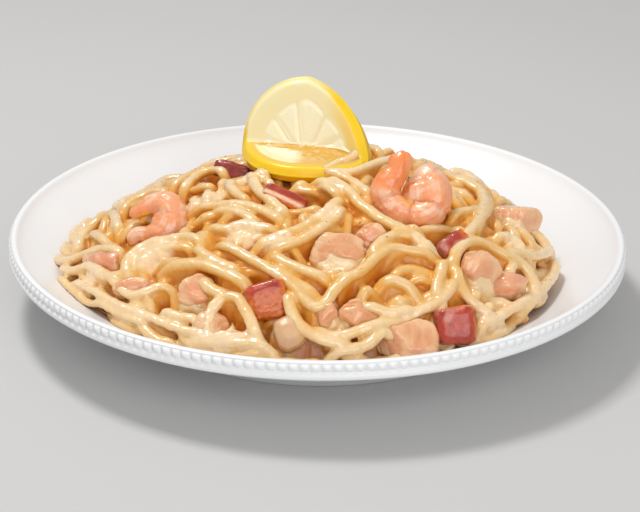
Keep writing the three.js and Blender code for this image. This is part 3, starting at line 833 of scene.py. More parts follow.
def build_lemon(material):
    """A folded wheel of lemon with peel, pith, membranes and juicy segments."""
    around, rings = 240, 44
    eu, ev = lemon_edge(np.linspace(0, 2 * math.pi, around, endpoint=False))
    hu, hv = LEMON_HUB
    share = np.linspace(0, 1, rings + 1)[1:] ** 0.9
    u = hu + share[:, None] * (eu - hu)[None, :]
    v = hv + share[:, None] * (ev - hv)[None, :]
    rim = np.hypot(eu - hu, ev - hv)
    depth = rim[None, :] - np.hypot(u - hu, v - hv)
    pulp, peel, gold, inside, lit = lemon_masks(u, v, depth)
    half = LEMON["thick"] / 2
    bulge = -0.3 * pulp + 0.55 * pulp * smooth(inside / LEMON_ROUND)
    worn = 1 - np.sqrt(np.clip(1 - np.clip(1 - depth / LEMON_ROUND, 0, 1) ** 2, 0, 1))
    high = half + bulge - half * worn * 0.8
    top = np.column_stack([u.ravel(), v.ravel(), high.ravel()])
    low = np.column_stack([u.ravel(), v.ravel(), -high.ravel()])
    wall_rows = []
    for k in (0.55, 0.0, -0.55):
        grow = (rim + 0.8 * math.cos(k * 1.4)) / rim
        wall_rows.append(np.column_stack([hu + (eu - hu) * grow, hv + (ev - hv) * grow, high[-1] * k]))
    flat = np.vstack([[[hu, hv, half - 0.2], [hu, hv, -half + 0.2]], top, low] + wall_rows)
    # rings in order: out over the top, down the edge and in again under the slice
    n, k = rings * around, np.arange(around)
    k2 = (k + 1) % around
    chain = 2 + np.concatenate([np.arange(0, n, around), 2 * n + around * np.arange(3),
                                n + np.arange(0, n, around)[::-1]])
    faces = np.column_stack([np.zeros(around, int), 2 + k, 2 + k2]).tolist()
    faces += np.column_stack([np.ones(around, int), 2 + n + k2, 2 + n + k]).tolist()
    for a, b in zip(chain[:-1], chain[1:]):
        faces += np.column_stack([a + k, b + k, b + k2, a + k2]).tolist()
    obj = add_mesh("lemon_wheel", fold_lemon(flat[:, 0], flat[:, 1], flat[:, 2]), faces)
    masks = []
    # on the edge wall the peel is painted paler where the slice is lit through from behind
    for grid, middle, wall_value in ((pulp, 0.3, 0.0), (peel, 0.0, 1 - 0.55 * lit[-1]), (gold, 1.0, 0.0)):
        edge = np.tile(wall_value * np.ones(around), 3)
        masks.append(np.concatenate([[middle, middle], grid.ravel(), grid.ravel(), edge]))
    store(obj, "fruit", masks)
    uv = obj.data.uv_layers.new(name="slice")
    loops = np.empty(len(obj.data.loops), int)
    obj.data.loops.foreach_get("vertex_index", loops)
    uv.data.foreach_set("uv", (flat[loops, :2] / 80 + 0.5).astype(np.float32).ravel())
    settle(obj, "lemon_slice", material)


# ---------------------------------------------------------------- the shrimps
SHRIMP_VOXEL, CHUNK_VOXEL, CRAB_VOXEL = 0.00042, 0.0006, 0.0005  # grain of their skins, in m
# Along the middle line from the thick end to the tail: across, high, out, half width, half depth, seen
# square on from the facing side. The lobe is the plump inside of the curl; the last stations are the tail.
SHRIMPS = {
    "shrimp_right": {
        "at": (35.6, -28.6, 59.4), "facing": (0.06, -0.83, 0.56), "rings": 5.6, "tail": 0.74,
        "red": 1.0, "groove": 0.55, "hub": (1, -2), "head": (6, 12.5),
        "body": [(5.8, 12.2, -2, 4.2, 4), (10.4, 9.4, -1, 6.6, 6.2), (13, 3, 0, 7.6, 7.4),
                 (11.6, -4.4, 0.2, 7, 7.2), (5.4, -7, 0.4, 5.2, 6.6), (-1.6, -5, 0.6, 5.4, 6.4),
                 (-7.2, 0.4, 0.8, 6.4, 6.2), (-6.4, 6.2, 2, 6.2, 5.6), (-2.6, 11.2, 3.6, 5, 3.8),
                 (-0.6, 17, 4.8, 5.4, 2.4), (-0.4, 20.4, 5.2, 4.4, 1.6)],
        "lobe": ((9.4, 2.6, -0.8), (9.8, 8.6, 6.4))},
    "shrimp_left": {
        "at": (-68.3, -21.6, 46.4), "facing": (-0.16, -0.8, 0.58), "rings": 3.2, "tail": 0.86,
        "red": 0.45, "groove": 0.25, "hub": (-5, -1), "head": (-11, -9),
        "body": [(-11.2, -11.6, -0.6, 2.6, 2.4), (-7.6, -7.8, 0, 3.2, 3.2), (-2, -7.2, 0.2, 4.2, 4.4),
                 (4.6, -5.4, 0.4, 6, 6), (6.6, 0.6, 0.4, 6.6, 6.2), (3.4, 6.2, 0.2, 5.8, 5.6),
                 (-2.2, 6.4, 0.4, 4.3, 4.6), (-7.2, 3.4, 0.6, 3.7, 3.8), (-12.2, -0.2, 1, 1.8, 1.8)],
        "lobe": ((5.6, -2, 0), (8, 8.4, 6))},
}


def facing_frame(facing, spin=0.0):
    """Right, up and out of a piece that faces one way, turned in its face by a spin."""
    normal = Vector(facing).normalized()
    right = Vector((0, 0, 1)).cross(normal).normalized()
    up = normal.cross(right)
    turn = Matrix.Rotation(spin, 3, normal)
    return np.array([list(turn @ right), list(turn @ up), list(normal)])


def build_shrimp(name, material):
    """A plump curled body with rings across it, red veins between them and a flat tail."""
    spec = SHRIMPS[name]
    axes = facing_frame(spec["facing"])
    line = resample(spec["body"], 0.5)
    n, sides = len(line), 32
    s = np.linspace(0, 1, n)
    tangent = np.gradient(line[:, :3], axis=0)
    tangent /= np.linalg.norm(tangent, axis=1)[:, None]
    side = np.cross(tangent, [0, 0, 1.0])
    side /= np.linalg.norm(side, axis=1)[:, None]
    turn = np.linspace(0, 2 * math.pi, sides, endpoint=False)
    cap = np.sqrt(np.clip(1 - (1 - np.minimum(1, np.minimum(s, 1 - s) * n * 0.5 / line[:, 3])) ** 2, 0.06, 1))
    ring = (np.cos(turn)[None, :, None] * side[:, None] * (line[:, 3] * cap)[:, None, None]
            + np.sin(turn)[None, :, None] * np.array([0, 0, 1.0]) * (line[:, 4] * cap)[:, None, None])
    points = (line[:, None, :3] + ring).reshape(-1, 3)
    faces = ring_faces(n, sides).tolist()
    faces += [list(range(sides))[::-1], [(n - 1) * sides + j for j in range(sides)]]
    obj = add_mesh(name.replace("shrimp", "prawn"), points, faces)
    deselect()
    place, half = spec["lobe"]
    bpy.ops.mesh.primitive_uv_sphere_add(segments=32, ring_count=20, radius=1)
    lobe = bpy.context.object
    size = Matrix.Diagonal((*[h * MM for h in half], 1))
    lobe.data.transform(Matrix.Translation(Vector(place) * MM) @ size)
    pick(obj)
    lobe.select_set(True)
    bpy.ops.object.join()
    in_edit_mode(obj, ("normals_make_consistent", dict(inside=False)))
    rework(obj, SHRIMP_VOXEL, 8)
    p, out = points_of(obj), normals_of(obj)
    apart = np.linalg.norm((p[:, None, :] - line[None, :, :3]) / np.array([1, 1, 1.4]), axis=2)
    nearest = (apart / line[None, :, 3]).argmin(axis=1)
    share = nearest / (n - 1)
    across = ((p - line[nearest, :3]) * side[nearest]).sum(axis=1)
    near = share + 0.012 * ripple(p, 3, 5)
    body = smooth((spec["tail"] - near) / 0.05)
    phase = (near * spec["rings"] + 0.35) % 1.0
    edge = np.abs(phase - 0.5) * 2
    groove = smooth((edge - 0.76) / 0.24) * body
    lengthwise = ripple(np.column_stack([across * 0.9, share * 7, 0.15 * p[:, 2]]), 1, 9)
    from_hub = p[:, :2] - np.array(spec["hub"])
    turn, far = np.arctan2(from_hub[:, 1], from_hub[:, 0]), np.linalg.norm(from_hub, axis=1)
    rays = ripple(np.column_stack([np.cos(turn) * 5, np.sin(turn) * 5, far * 0.12]), 1, 10)
    streaks = 0.6 * lengthwise + 0.6 * rays
    spoke = np.arctan2(p[:, 0] - line[-1, 0], np.abs(p[:, 1] - line[-1, 1]) + 4)
    fan = (1 - body) * np.abs(np.sin(5 * spoke))
    relief = (0.4 * (1 - edge ** 2) * body - spec["groove"] * groove + 0.3 * ripple(p, 3.4, 7)
              + 0.25 * streaks - 0.3 * fan)
    move_points(obj, p + out * relief[:, None])
    vein = np.clip(0.45 * groove + smooth((streaks - 0.12) / 0.35) * body, 0, 1)
    # painted shade: near the hub of the curl, on the surface turned away from the facing side, the shell
    # takes the deep orange of its shaded inner side
    slit = smooth((4.2 - far) / 2.4) * (out[:, 2] < 0.75)
    head = smooth((6.5 - np.linalg.norm(p[:, :2] - np.array(spec["head"]), axis=1)) / 4)
    pale = np.clip(smooth((0.05 - streaks + 0.8 * ripple(p, 6, 8)) / 0.5) * body * 0.8 + head - slit, 0, 1)
    store(obj, "shell", (vein * (1 - slit), (1 - body) * spec["red"] * (1 - 0.35 * fan), pale))
    store(obj, "slit", (slit, slit, slit))
    obj.data.transform(Matrix.Translation(Vector(spec["at"]) * MM) @ Matrix(axes.T.tolist()).to_4x4())
    settle(obj, name, material)


# ---------------------------------------------------------------- chunks of fish, crab and mushroom
FISH = [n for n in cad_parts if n.startswith("fish")]
CRAB = [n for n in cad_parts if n.startswith("crab")]
# The way a piece of crab looks, its turn in that face, from what height its red skin starts and from what
# place across its pale side starts (shares of its half size), how thick its film of sauce is, and how dark
# it is.
CRAB_FORMS = {
    "crab_front": ((0.02, -0.86, 0.5), 0.22, 0.25, 0.7, -0.8, 0),
    "crab_right": ((0.06, -0.9, 0.42), 0.1, -2, 0.88, 0.1, 0),
    "crab_small": ((0.2, -0.7, 0.65), 0.5, -0.2, 0.6, 0.35, 0.2),
    "crab_top": ((0.1, -0.75, 0.65), -0.5, 0, 2, -0.4, 0.3),
    "crab_back_left": ((-0.1, -0.8, 0.6), -0.25, -2, 2, -1, 1),
}


def chunk_from(node, name, voxel, rounding):
    """A rounded, finely divided copy of a node's solid."""
    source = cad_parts[node]
    mesh = source.data.copy()
    obj = bpy.data.objects.new(name, mesh)
    bpy.context.scene.collection.objects.link(obj)
    in_edit_mode(obj, ("remove_doubles", dict(threshold=0.00001)))
    for layer in list(mesh.attributes):
        if layer.name not in ("position", ".edge_verts", ".corner_vert", ".corner_edge", "material_index"):
            try:
                mesh.attributes.remove(layer)
            except RuntimeError:
                pass
    rework(obj, voxel, rounding)
    return obj


# How much longer a piece of fish is across, how much it narrows to the left and how thickly it is coated.
FISH_FORMS = {
    "fish_left": (1.25, 0.45, -0.5), "fish_middle": (1.15, -0.1, -0.1),
    "fish_sliver": (1.1, -0.3, -0.3), "fish_front_right": (1.15, 0.25, 0.15),
    "fish_back_right": (1.1, -0.2, 0.8), "fish_front_b": (1.2, 0.1, -0.2),
    "fish_front_left": (1.1, 0, -0.2), "fish_low_left": (1.1, 0, 0.8),
    "fish_right": (1.25, -0.2, 0.1), "fish_right_low": (1.3, -0.3, 0.0),
}


def build_fish(node, material):
    """A flaky, uneven piece of cooked fish."""
    obj = chunk_from(node, node.replace("fish", "fillet"), CHUNK_VOXEL, 2)
    p = points_of(obj)
    seed = FISH.index(node) + 11
    middle = p.mean(axis=0)
    stretch, taper, coated = FISH_FORMS.get(node, (1.08, 0.0, 0.0))
    p -= middle
    p[:, 1:] *= (1 + taper * p[:, :1] / np.abs(p[:, 0]).max())
    p[:, 0] *= stretch
    rng = np.random.default_rng(seed)
    for _ in range(6):
        way = rng.normal(0, 1, 3) - np.array([0, 0.9, -0.5])
        way /= np.linalg.norm(way)
        out = p @ way
        p -= np.maximum(out - rng.uniform(0.6, 0.88) * out.max(), 0)[:, None] * way * 0.96
    move_points(obj, p + middle)
    finish_with(obj, "SMOOTH", factor=0.5, iterations=9)
    move_points(obj, points_of(obj) + 0.7 * normals_of(obj))
    p, n = points_of(obj), normals_of(obj)
    grain = rng.normal(0, 1, 3) + np.array([0, 0, 1.0])
    grain /= np.linalg.norm(grain)
    layer = p @ grain / 3.4 + 0.35 * ripple(p, 6, seed)
    flake = (np.abs((layer % 1.0) - 0.5) * 2) ** 3
    lumps = 0.8 * ripple(p, 8, seed + 1) + 0.2 * ripple(p, 3.2, seed + 2)
    move_points(obj, p + n * (lumps - 0.3 * flake)[:, None])
    blotch = ripple(p, 6, seed + 3)
    right, up, _ = facing_frame((0, -0.8, 0.6))
    across, above = (p - p.mean(axis=0)) @ right, (p - p.mean(axis=0)) @ up
    rim = np.hypot(across / np.abs(across).max(), above / np.abs(above).max()) + 0.5 * blotch
    coat = np.maximum(smooth((blotch + 0.3 * n[:, 2] - 0.25 + coated) / 0.8), smooth((rim - 0.55) / 0.4))
    store(obj, "flesh", (flake, coat, np.full(len(p), (seed * 0.618) % 1)))
    settle(obj, node, material)


def build_mushroom(node, material):
    """A smooth cut piece of mushroom."""
    obj = chunk_from(node, "mushroom_piece", CHUNK_VOXEL, 10)
    p, n = points_of(obj), normals_of(obj)
    move_points(obj, p + n * (0.4 * ripple(p, 6, 40))[:, None])
    store(obj, "flesh", (np.zeros(len(p)), ripple(p, 5, 41) * 0.5 + 0.5, np.zeros(len(p))))
    settle(obj, node, material)


def build_crab(node, material):
    """A cut block of crab stick: red skin on one side, pale fibres on the others."""
    obj = chunk_from(node, node.replace("crab", "stick"), CRAB_VOXEL, 3)
    p, n = points_of(obj), normals_of(obj)
    seed = CRAB.index(node) + 31
    facing, spin, red_from, pale_from, coated, dark = CRAB_FORMS[node]
    right, up, _ = facing_frame(facing, spin)
    middle = (p.max(axis=0) + p.min(axis=0)) / 2
    across, high = (p - middle) @ right, (p - middle) @ up
    across, high = across / np.abs(across).max(), high / np.abs(high).max()
    uneven = ripple(p, 3, seed)
    red = smooth((high - red_from + 0.2 * uneven) / 0.2) * smooth((pale_from - across + 0.12 * uneven) / 0.12)
    along = np.outer(across, right) * 6
    fibre = ripple(p - 0.85 * along, 0.9, seed + 1)
    move_points(obj, p + n * (0.35 * ripple(p, 4, seed + 2) + 0.16 * fibre * (1 - red))[:, None])
    stain = 0.55 - 0.35 * high + 0.5 * ripple(p, 2.2, seed + 4) + 0.8 * smooth((across - pale_from) / 0.2)
    stain = np.clip(stain, 0, 1)
    film = smooth((ripple(p, 4.5, seed + 5) + 0.25 * high - 0.3 * across - 0.25 + coated) / 0.35)
    stripe = smooth((high + 0.5) / 0.12) * smooth((0.02 - high) / 0.12) * (node == "crab_top")
    bright = smooth((high - 0.74) / 0.12) * (1 - dark)
    store(obj, "flesh", (red, np.clip(0.3 * fibre + stain, 0, 1), film))
    store(obj, "edge", (bright, np.full(len(p), dark), stripe))
    settle(obj, node, material)


# ---------------------------------------------------------------- pepper and herbs
FLAKE_SIDES = 5
TOO_STEEP = 0.35  # flakes don't stay where the surface faces up less than this


def build_flakes(sizes, material):
    """Small flakes of pepper and herbs that lie scattered on the coated noodles."""
    rng = np.random.default_rng(8)
    noodles = [bpy.data.objects[name] for name in NOODLES]
    covered = sum(top_of_node(name)[0] > 0 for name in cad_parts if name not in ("plate", "pasta"))
    down = Vector((0, 0, -1))
    points, faces = [], []
    while len(points) < (FLAKE_SIDES + 2) * sizes.flakes:
        x, y = rng.uniform(-112, 104), rng.uniform(-103, 88)
        start = Vector((x * MM, y * MM, 0.2))
        hits = [part.ray_cast(start, down) for part in noodles]
        hits = [(place, normal) for found, place, normal, _ in hits if found]
        if not hits or covered[cells(x, y)]:
            continue
        place, normal = max(hits, key=lambda hit: hit[0].z)
        if normal.z < TOO_STEEP:
            continue
        place = place / MM + normal * 0.05
        across = normal.orthogonal().normalized()
        along = normal.cross(across)
        size = rng.uniform(0.25, 0.5)
        first = len(points)
        for k in range(FLAKE_SIDES):
            turn = 2 * math.pi * (k + rng.uniform(-0.3, 0.3)) / FLAKE_SIDES
            reach = size * rng.uniform(0.6, 1.3)
            spot = place + across * reach * math.cos(turn)
            points.append(list(spot + along * reach * 0.7 * math.sin(turn)))
        points += [list(place + normal * 0.2), list(place - normal * 0.25)]
        for k in range(FLAKE_SIDES):
            a, b = first + k, first + (k + 1) % FLAKE_SIDES
            faces += [[a, b, first + FLAKE_SIDES], [b, a, first + FLAKE_SIDES + 1]]
    settle(add_mesh("flakes", points, faces), "pasta", material, rounded=False)


# ---------------------------------------------------------------- materials
def mottle_group():
    """Two sizes of noise on Object coordinates: a mask for colour and a height for the surface."""
    if "Mottle" in bpy.data.node_groups:
        return bpy.data.node_groups["Mottle"]
    tree = bpy.data.node_groups.new("Mottle", "ShaderNodeTree")
    for label, way in (("Patch Size", "INPUT"), ("Grain Size", "INPUT"),
                       ("Patches", "OUTPUT"), ("Grain", "OUTPUT")):
        tree.interface.new_socket(label, in_out=way, socket_type="NodeSocketFloat")
    inside, outside = tree.nodes.new("NodeGroupInput"), tree.nodes.new("NodeGroupOutput")
    where, spread = tree.nodes.new("ShaderNodeTexCoord"), tree.nodes.new("ShaderNodeMapRange")
    spread.inputs["From Min"].default_value = 0.3
    spread.inputs["From Max"].default_value = 0.7
    for size, detail, target in (("Patch Size", 3, spread.inputs["Value"]),
                                 ("Grain Size", 4, outside.inputs["Grain"])):
        noise_node = tree.nodes.new("ShaderNodeTexNoise")
        noise_node.inputs["Detail"].default_value = detail
        tree.links.new(where.outputs["Object"], noise_node.inputs["Vector"])
        tree.links.new(inside.outputs[size], noise_node.inputs["Scale"])
        tree.links.new(noise_node.outputs["Fac"], target)
    tree.links.new(spread.outputs["Result"], outside.inputs["Patches"])
    return tree


class Finish:
    """Small helper that builds one material's nodes."""

    def __init__(self, name, **values):
        self.material = bpy.data.materials.new(name)
        self.material.use_nodes = True
        self.nodes, self.links = self.material.node_tree.nodes, self.material.node_tree.links
        self.shader = self.nodes["Principled BSDF"]
        self.set(**values)

    def set(self, **values):
        for key, value in values.items():
            self.shader.inputs[key.replace("_", " ")].default_value = value

    def drive(self, key, socket):
        """Links a node's output to one of the shader's inputs."""
        self.links.new(socket, self.shader.inputs[key])

    def node(self, kind, **settings):
        node = self.nodes.new(kind)
        for key, value in settings.items():
            setattr(node, key, value)
        return node

    def mask(self, attribute):
        """The three channels of a point attribute."""
        source = self.node("ShaderNodeAttribute", attribute_name=attribute)
        split = self.node("ShaderNodeSeparateColor")
        self.links.new(source.outputs["Color"], split.inputs["Color"])
        return split.outputs["Red"], split.outputs["Green"], split.outputs["Blue"]

    def mottle(self, patch, grain):
        """Broad patches and fine grain, by the scale of each."""
        group = self.node("ShaderNodeGroup")
        group.node_tree = mottle_group()
        group.inputs["Patch Size"].default_value = patch
        group.inputs["Grain Size"].default_value = grain
        return group.outputs["Patches"], group.outputs["Grain"]

    def ramp(self, value, *stops):
        """The colour at a value between stops of position and colour."""
        node = self.node("ShaderNodeValToRGB")
        ramp = node.color_ramp
        while len(ramp.elements) < len(stops):
            ramp.elements.new(0.5)
        for element, (position, colour) in zip(ramp.elements, stops):
            element.position = position
            element.color = (*colour, 1)
        self.links.new(value, node.inputs["Fac"])
        return node.outputs["Color"]

    def feed(self, socket, value):
        """Links a node's output to a socket, or sets the socket to a number or a colour."""
        if isinstance(value, bpy.types.NodeSocket):
            self.links.new(value, socket)
        else:
            socket.default_value = value if isinstance(value, (int, float)) else (*value, 1)

    def blend(self, factor, first, second):
        """One colour over another."""
        node = self.node("ShaderNodeMix", data_type="RGBA")
        for index, value in ((0, factor), (6, first), (7, second)):
            self.feed(node.inputs[index], value)
        return node.outputs[2]

    def maths(self, way, first, second):
        node = self.node("ShaderNodeMath", operation=way)
        for socket, value in zip(node.inputs, (first, second)):
            self.feed(socket, value)
        return node.outputs[0]

    def times(self, first, second):
        return self.maths("MULTIPLY", first, second)

    def plus(self, first, second):
        return self.maths("ADD", first, second)

    def spread(self, value, low, high, to_low=0.0, to_high=1.0):
        """Stretches the part of a value between two numbers over another two."""
        node = self.node("ShaderNodeMapRange")
        for key, number in (("From Min", low), ("From Max", high), ("To Min", to_low), ("To Max", to_high)):
            node.inputs[key].default_value = number
        self.links.new(value, node.inputs["Value"])
        return node.outputs["Result"]

    def coats(self, base, *layers):
        """Colours laid one over another, each with the share of it that shows."""
        for share, colour in layers:
            base = self.blend(share, base, colour)
        return base

    def paint(self, base, *layers):
        self.drive("Base Color", self.coats(base, *layers))

    def soft(self, weight, radius, scale):
        """Light that soaks in, by its share, its reach in each colour, and the scale of that reach."""
        self.set(Subsurface_Weight=weight, Subsurface_Radius=radius, Subsurface_Scale=scale)

    def bump(self, height, distance, strength):
        node = self.node("ShaderNodeBump")
        node.inputs["Strength"].default_value = strength
        node.inputs["Distance"].default_value = distance
        self.links.new(height, node.inputs["Height"])
        self.drive("Normal", node.outputs["Normal"])


def glaze_finish(c):
    f = Finish("white glaze", Coat_Weight=0.15, Coat_Roughness=0.2)
    patches, grain = f.mottle(25, 900)
    f.paint(c.glaze, (patches, [x * 0.985 for x in c.glaze]))
    f.drive("Roughness", f.spread(grain, 0.3, 0.7, 0.3, 0.36))
    f.bump(patches, 0.0001, 0.3)
    return f.material


def noodle_finish(c):
    f = Finish("creamy noodles", Coat_Roughness=0.06, Specular_IOR_Level=0.5)
    gap, sauce, tone = f.mask("coat")
    patches, grain = f.mottle(240, 1400)
    broad, _ = f.mottle(45, 300)
    gap = f.plus(gap, f.times(f.maths("SUBTRACT", 0.5, broad), 0.05))
    on_top = f.spread(gap, 0.05, 0.3, 1, 0)
    # painted light and shade: the pale light colour on the strands' tops as if lit, then strand, shade and
    # deep the deeper a point lies in a gap; the pale patches on the tops are partly paler sauce and partly
    # painted sheen
    f.paint(f.ramp(gap, (0.02, c.light), (0.13, c.strand), (0.28, c.shade), (0.55, c.deep)),
            (f.spread(tone, 0, 1, 0.0, 0.15), c.shade),
            (f.times(f.times(patches, 0.6), on_top), c.light),
            (f.times(sauce, 0.7), c.sauce))
    f.drive("Roughness", f.spread(patches, 0, 1, 0.2, 0.32))
    f.drive("Coat Weight", on_top)
    f.soft(0.25, (0.8, 0.5, 0.2), 0.003)
    f.bump(f.plus(f.times(patches, 0.5), f.times(grain, 0.5)), 0.0004, 0.5)
    return f.material


def lemon_finish(c):
    f = Finish("lemon", Roughness=0.36, Coat_Weight=0.2, Coat_Roughness=0.1)
    pulp, peel, gold = f.mask("fruit")
    gold = f.spread(gold, 0.1, 0.75)
    patches, grain = f.mottle(260, 900)
    drops = f.node("ShaderNodeTexVoronoi", feature="SMOOTH_F1")
    drops.inputs["Scale"].default_value = 620
    f.links.new(f.node("ShaderNodeTexCoord").outputs["Object"], drops.inputs["Vector"])
    # painted light: the standing half's pith and flesh are painted as lit through from behind
    flesh = f.coats(c.lemon_flesh_backlit, (gold, c.lemon_deep), (f.times(patches, 0.1), c.lemon_flesh_backlit))
    f.paint(c.lemon_pith_backlit, (gold, c.lemon_deep), (pulp, flesh), (peel, c.lemon_peel))
    f.soft(0.5, (1.0, 0.8, 0.25), 0.006)
    f.bump(f.times(f.plus(drops.outputs["Distance"], grain), pulp), 0.0005, 0.2)
    return f.material


def shrimp_finish(c):
    f = Finish("cooked shrimp", Roughness=0.26, Coat_Weight=0.6, Coat_Roughness=0.06)
    vein, tail, pale = f.mask("shell")
    slit, _, _ = f.mask("slit")
    patches, grain = f.mottle(230, 1100)
    # the last layer is painted shade on the inner side of the curl
    f.paint(c.shrimp_pink, (f.times(patches, 0.7), c.shrimp_flesh), (f.times(pale, 0.75), c.shrimp_pale),
            (f.times(vein, 0.55), c.shrimp_band), (tail, c.shrimp_tail), (slit, c.shrimp_curl_shade))
    f.soft(0.35, (1.0, 0.45, 0.2), 0.004)
    f.bump(f.plus(patches, grain), 0.0004, 0.5)
    return f.material


def fish_finish(c):
    f = Finish("cooked fish", Roughness=0.26, Coat_Weight=0.8, Coat_Roughness=0.08)
    flake, coat, tone = f.mask("flesh")
    patches, _ = f.mottle(240, 1300)
    dabs, _ = f.mottle(620, 2200)
    f.paint(c.fish, (f.times(tone, 0.8), c.fish_pink), (f.times(patches, 0.35), c.fish_light),
            (f.times(flake, 0.3), c.fish_light), (f.times(coat, 0.75), c.fish_light))
    f.soft(0.35, (1.0, 0.5, 0.3), 0.004)
    f.bump(f.plus(patches, f.times(dabs, 0.6)), 0.0006, 0.5)
    return f.material


def mushroom_finish(c):
    f = Finish("mushroom", Roughness=0.4, Coat_Weight=0.2, Coat_Roughness=0.2)
    patches, grain = f.mottle(120, 1300)
    f.paint(c.mushroom, (f.times(patches, 0.5), c.strand))
    f.soft(0.35, (1.0, 0.6, 0.35), 0.004)
    f.bump(grain, 0.0003, 0.3)
    return f.material


def crab_finish(c):
    f = Finish("crab stick", Roughness=0.32, Coat_Weight=0.6, Coat_Roughness=0.06, Specular_IOR_Level=0.35)
    red, fibre, film = f.mask("flesh")
    bright, dark, stripe = f.mask("edge")
    patches, grain = f.mottle(300, 1500)
    dabs, _ = f.mottle(800, 2500)
    skin = f.coats(c.crab_skin, (patches, c.crab_dark), (f.times(dark, 0.75), c.crab_deep))
    f.paint(c.crab_side, (fibre, c.crab_fibre), (red, skin), (f.times(film, 0.5), c.crab_film),
            (f.times(stripe, 0.85), c.shrimp_pale), (f.spread(dabs, 0.7, 1.0, 0, 0.35), c.crab_dark),
            (f.times(bright, 0.7), c.crab_edge))
    f.soft(0.25, (1.0, 0.35, 0.2), 0.003)
    f.bump(f.plus(patches, grain), 0.0004, 0.5)
    return f.material


def flake_finish(c):
    f = Finish("pepper and herbs", Roughness=0.6)
    patches, _ = f.mottle(90, 900)
    f.paint(c.pepper, (patches, c.herb))
    return f.material


# ---------------------------------------------------------------- floor, lights and camera
WARM_WHITE = (1, 0.99, 0.97)
LIGHTS = (("key", (-0.35, 0.2, 1.15), 0.26), ("fill", (0.3, -1.2, 0.6), 1.0))  # name, place and size in m
CAMERA_AT, CAMERA_TARGET = (0, -0.73589, 0.34465), (0.00109, -0.03502, 0.036)
CAMERA_ROLL = 0.82163  # degrees


def build_stage(scene, s):
    """A pale floor, a large key light behind the left shoulder of the heap, a fill light and the camera."""
    deselect()
    bpy.ops.mesh.primitive_plane_add(size=8, location=(0, 0, 0))
    floor = bpy.context.object
    floor.name = "floor"
    f = Finish("pale floor", Roughness=0.7)
    patches, _ = f.mottle(3, 300)
    f.paint(s.floor, (patches, [x * 0.99 for x in s.floor]))
    floor.data.materials.append(f.material)
    world = bpy.data.worlds.new("soft room")
    scene.world = world
    world.use_nodes = True
    background = world.node_tree.nodes["Background"]
    background.inputs["Color"].default_value = (*WARM_WHITE, 1)
    background.inputs["Strength"].default_value = s.sky
    for name, place, size in LIGHTS:
        bpy.ops.object.light_add(type="AREA", location=place)
        light = bpy.context.object
        light.name = name
        light.data.size = size
        light.data.energy = getattr(s, name)
        light.data.color = WARM_WHITE
        light.rotation_euler = (Vector((0, 0, 0.04)) - Vector(place)).to_track_quat("-Z", "Y").to_euler()
    stand, roll = Vector(CAMERA_AT), math.radians(CAMERA_ROLL)
    forward = (Vector(CAMERA_TARGET) - stand).normalized()
    right = forward.cross(Vector((0, 0, 1))).normalized()
    up = right.cross(forward)
    tilted_right = math.cos(roll) * right + math.sin(roll) * up
    tilted_up = -math.sin(roll) * right + math.cos(roll) * up
    camera = bpy.data.objects.new("camera", bpy.data.cameras.new("camera"))
    scene.collection.objects.link(camera)
    camera.data.lens = s.lens
    camera.data.sensor_width = 36
    camera.data.clip_start = 0.01
    rotation = Matrix((tilted_right, tilted_up, -forward)).transposed().to_4x4()
    camera.matrix_world = Matrix.Translation(stand) @ rotation
    scene.camera = camera
    scene.view_settings.view_transform = "Standard"


# ---------------------------------------------------------------- settings and operators
def colour_setting(name, description, value):
    return FloatVectorProperty(name=name, description=description, subtype="COLOR", size=3, min=0, max=1,
                               default=value)


class PastaSizes(bpy.types.PropertyGroup):
    seed: IntProperty(name="Seed", description="Which random arrangement of the hidden strands", default=5)
    bundles: IntProperty(name="Bundles", description="Most bundles of strands in the heap", default=320)
    loose: IntProperty(name="Loose strands", description="Most loose strands on the bundles", default=260)
    flakes: IntProperty(name="Flakes", description="How many flakes of pepper and herbs", default=90)
    voxel: FloatProperty(name="Detail", description="Grain at which strands and sauce are joined",
                         default=0.00065, unit="LENGTH", subtype="DISTANCE")
    triangles: IntProperty(name="Triangles", description="Most triangles in one piece of the heap",
                           default=180000)


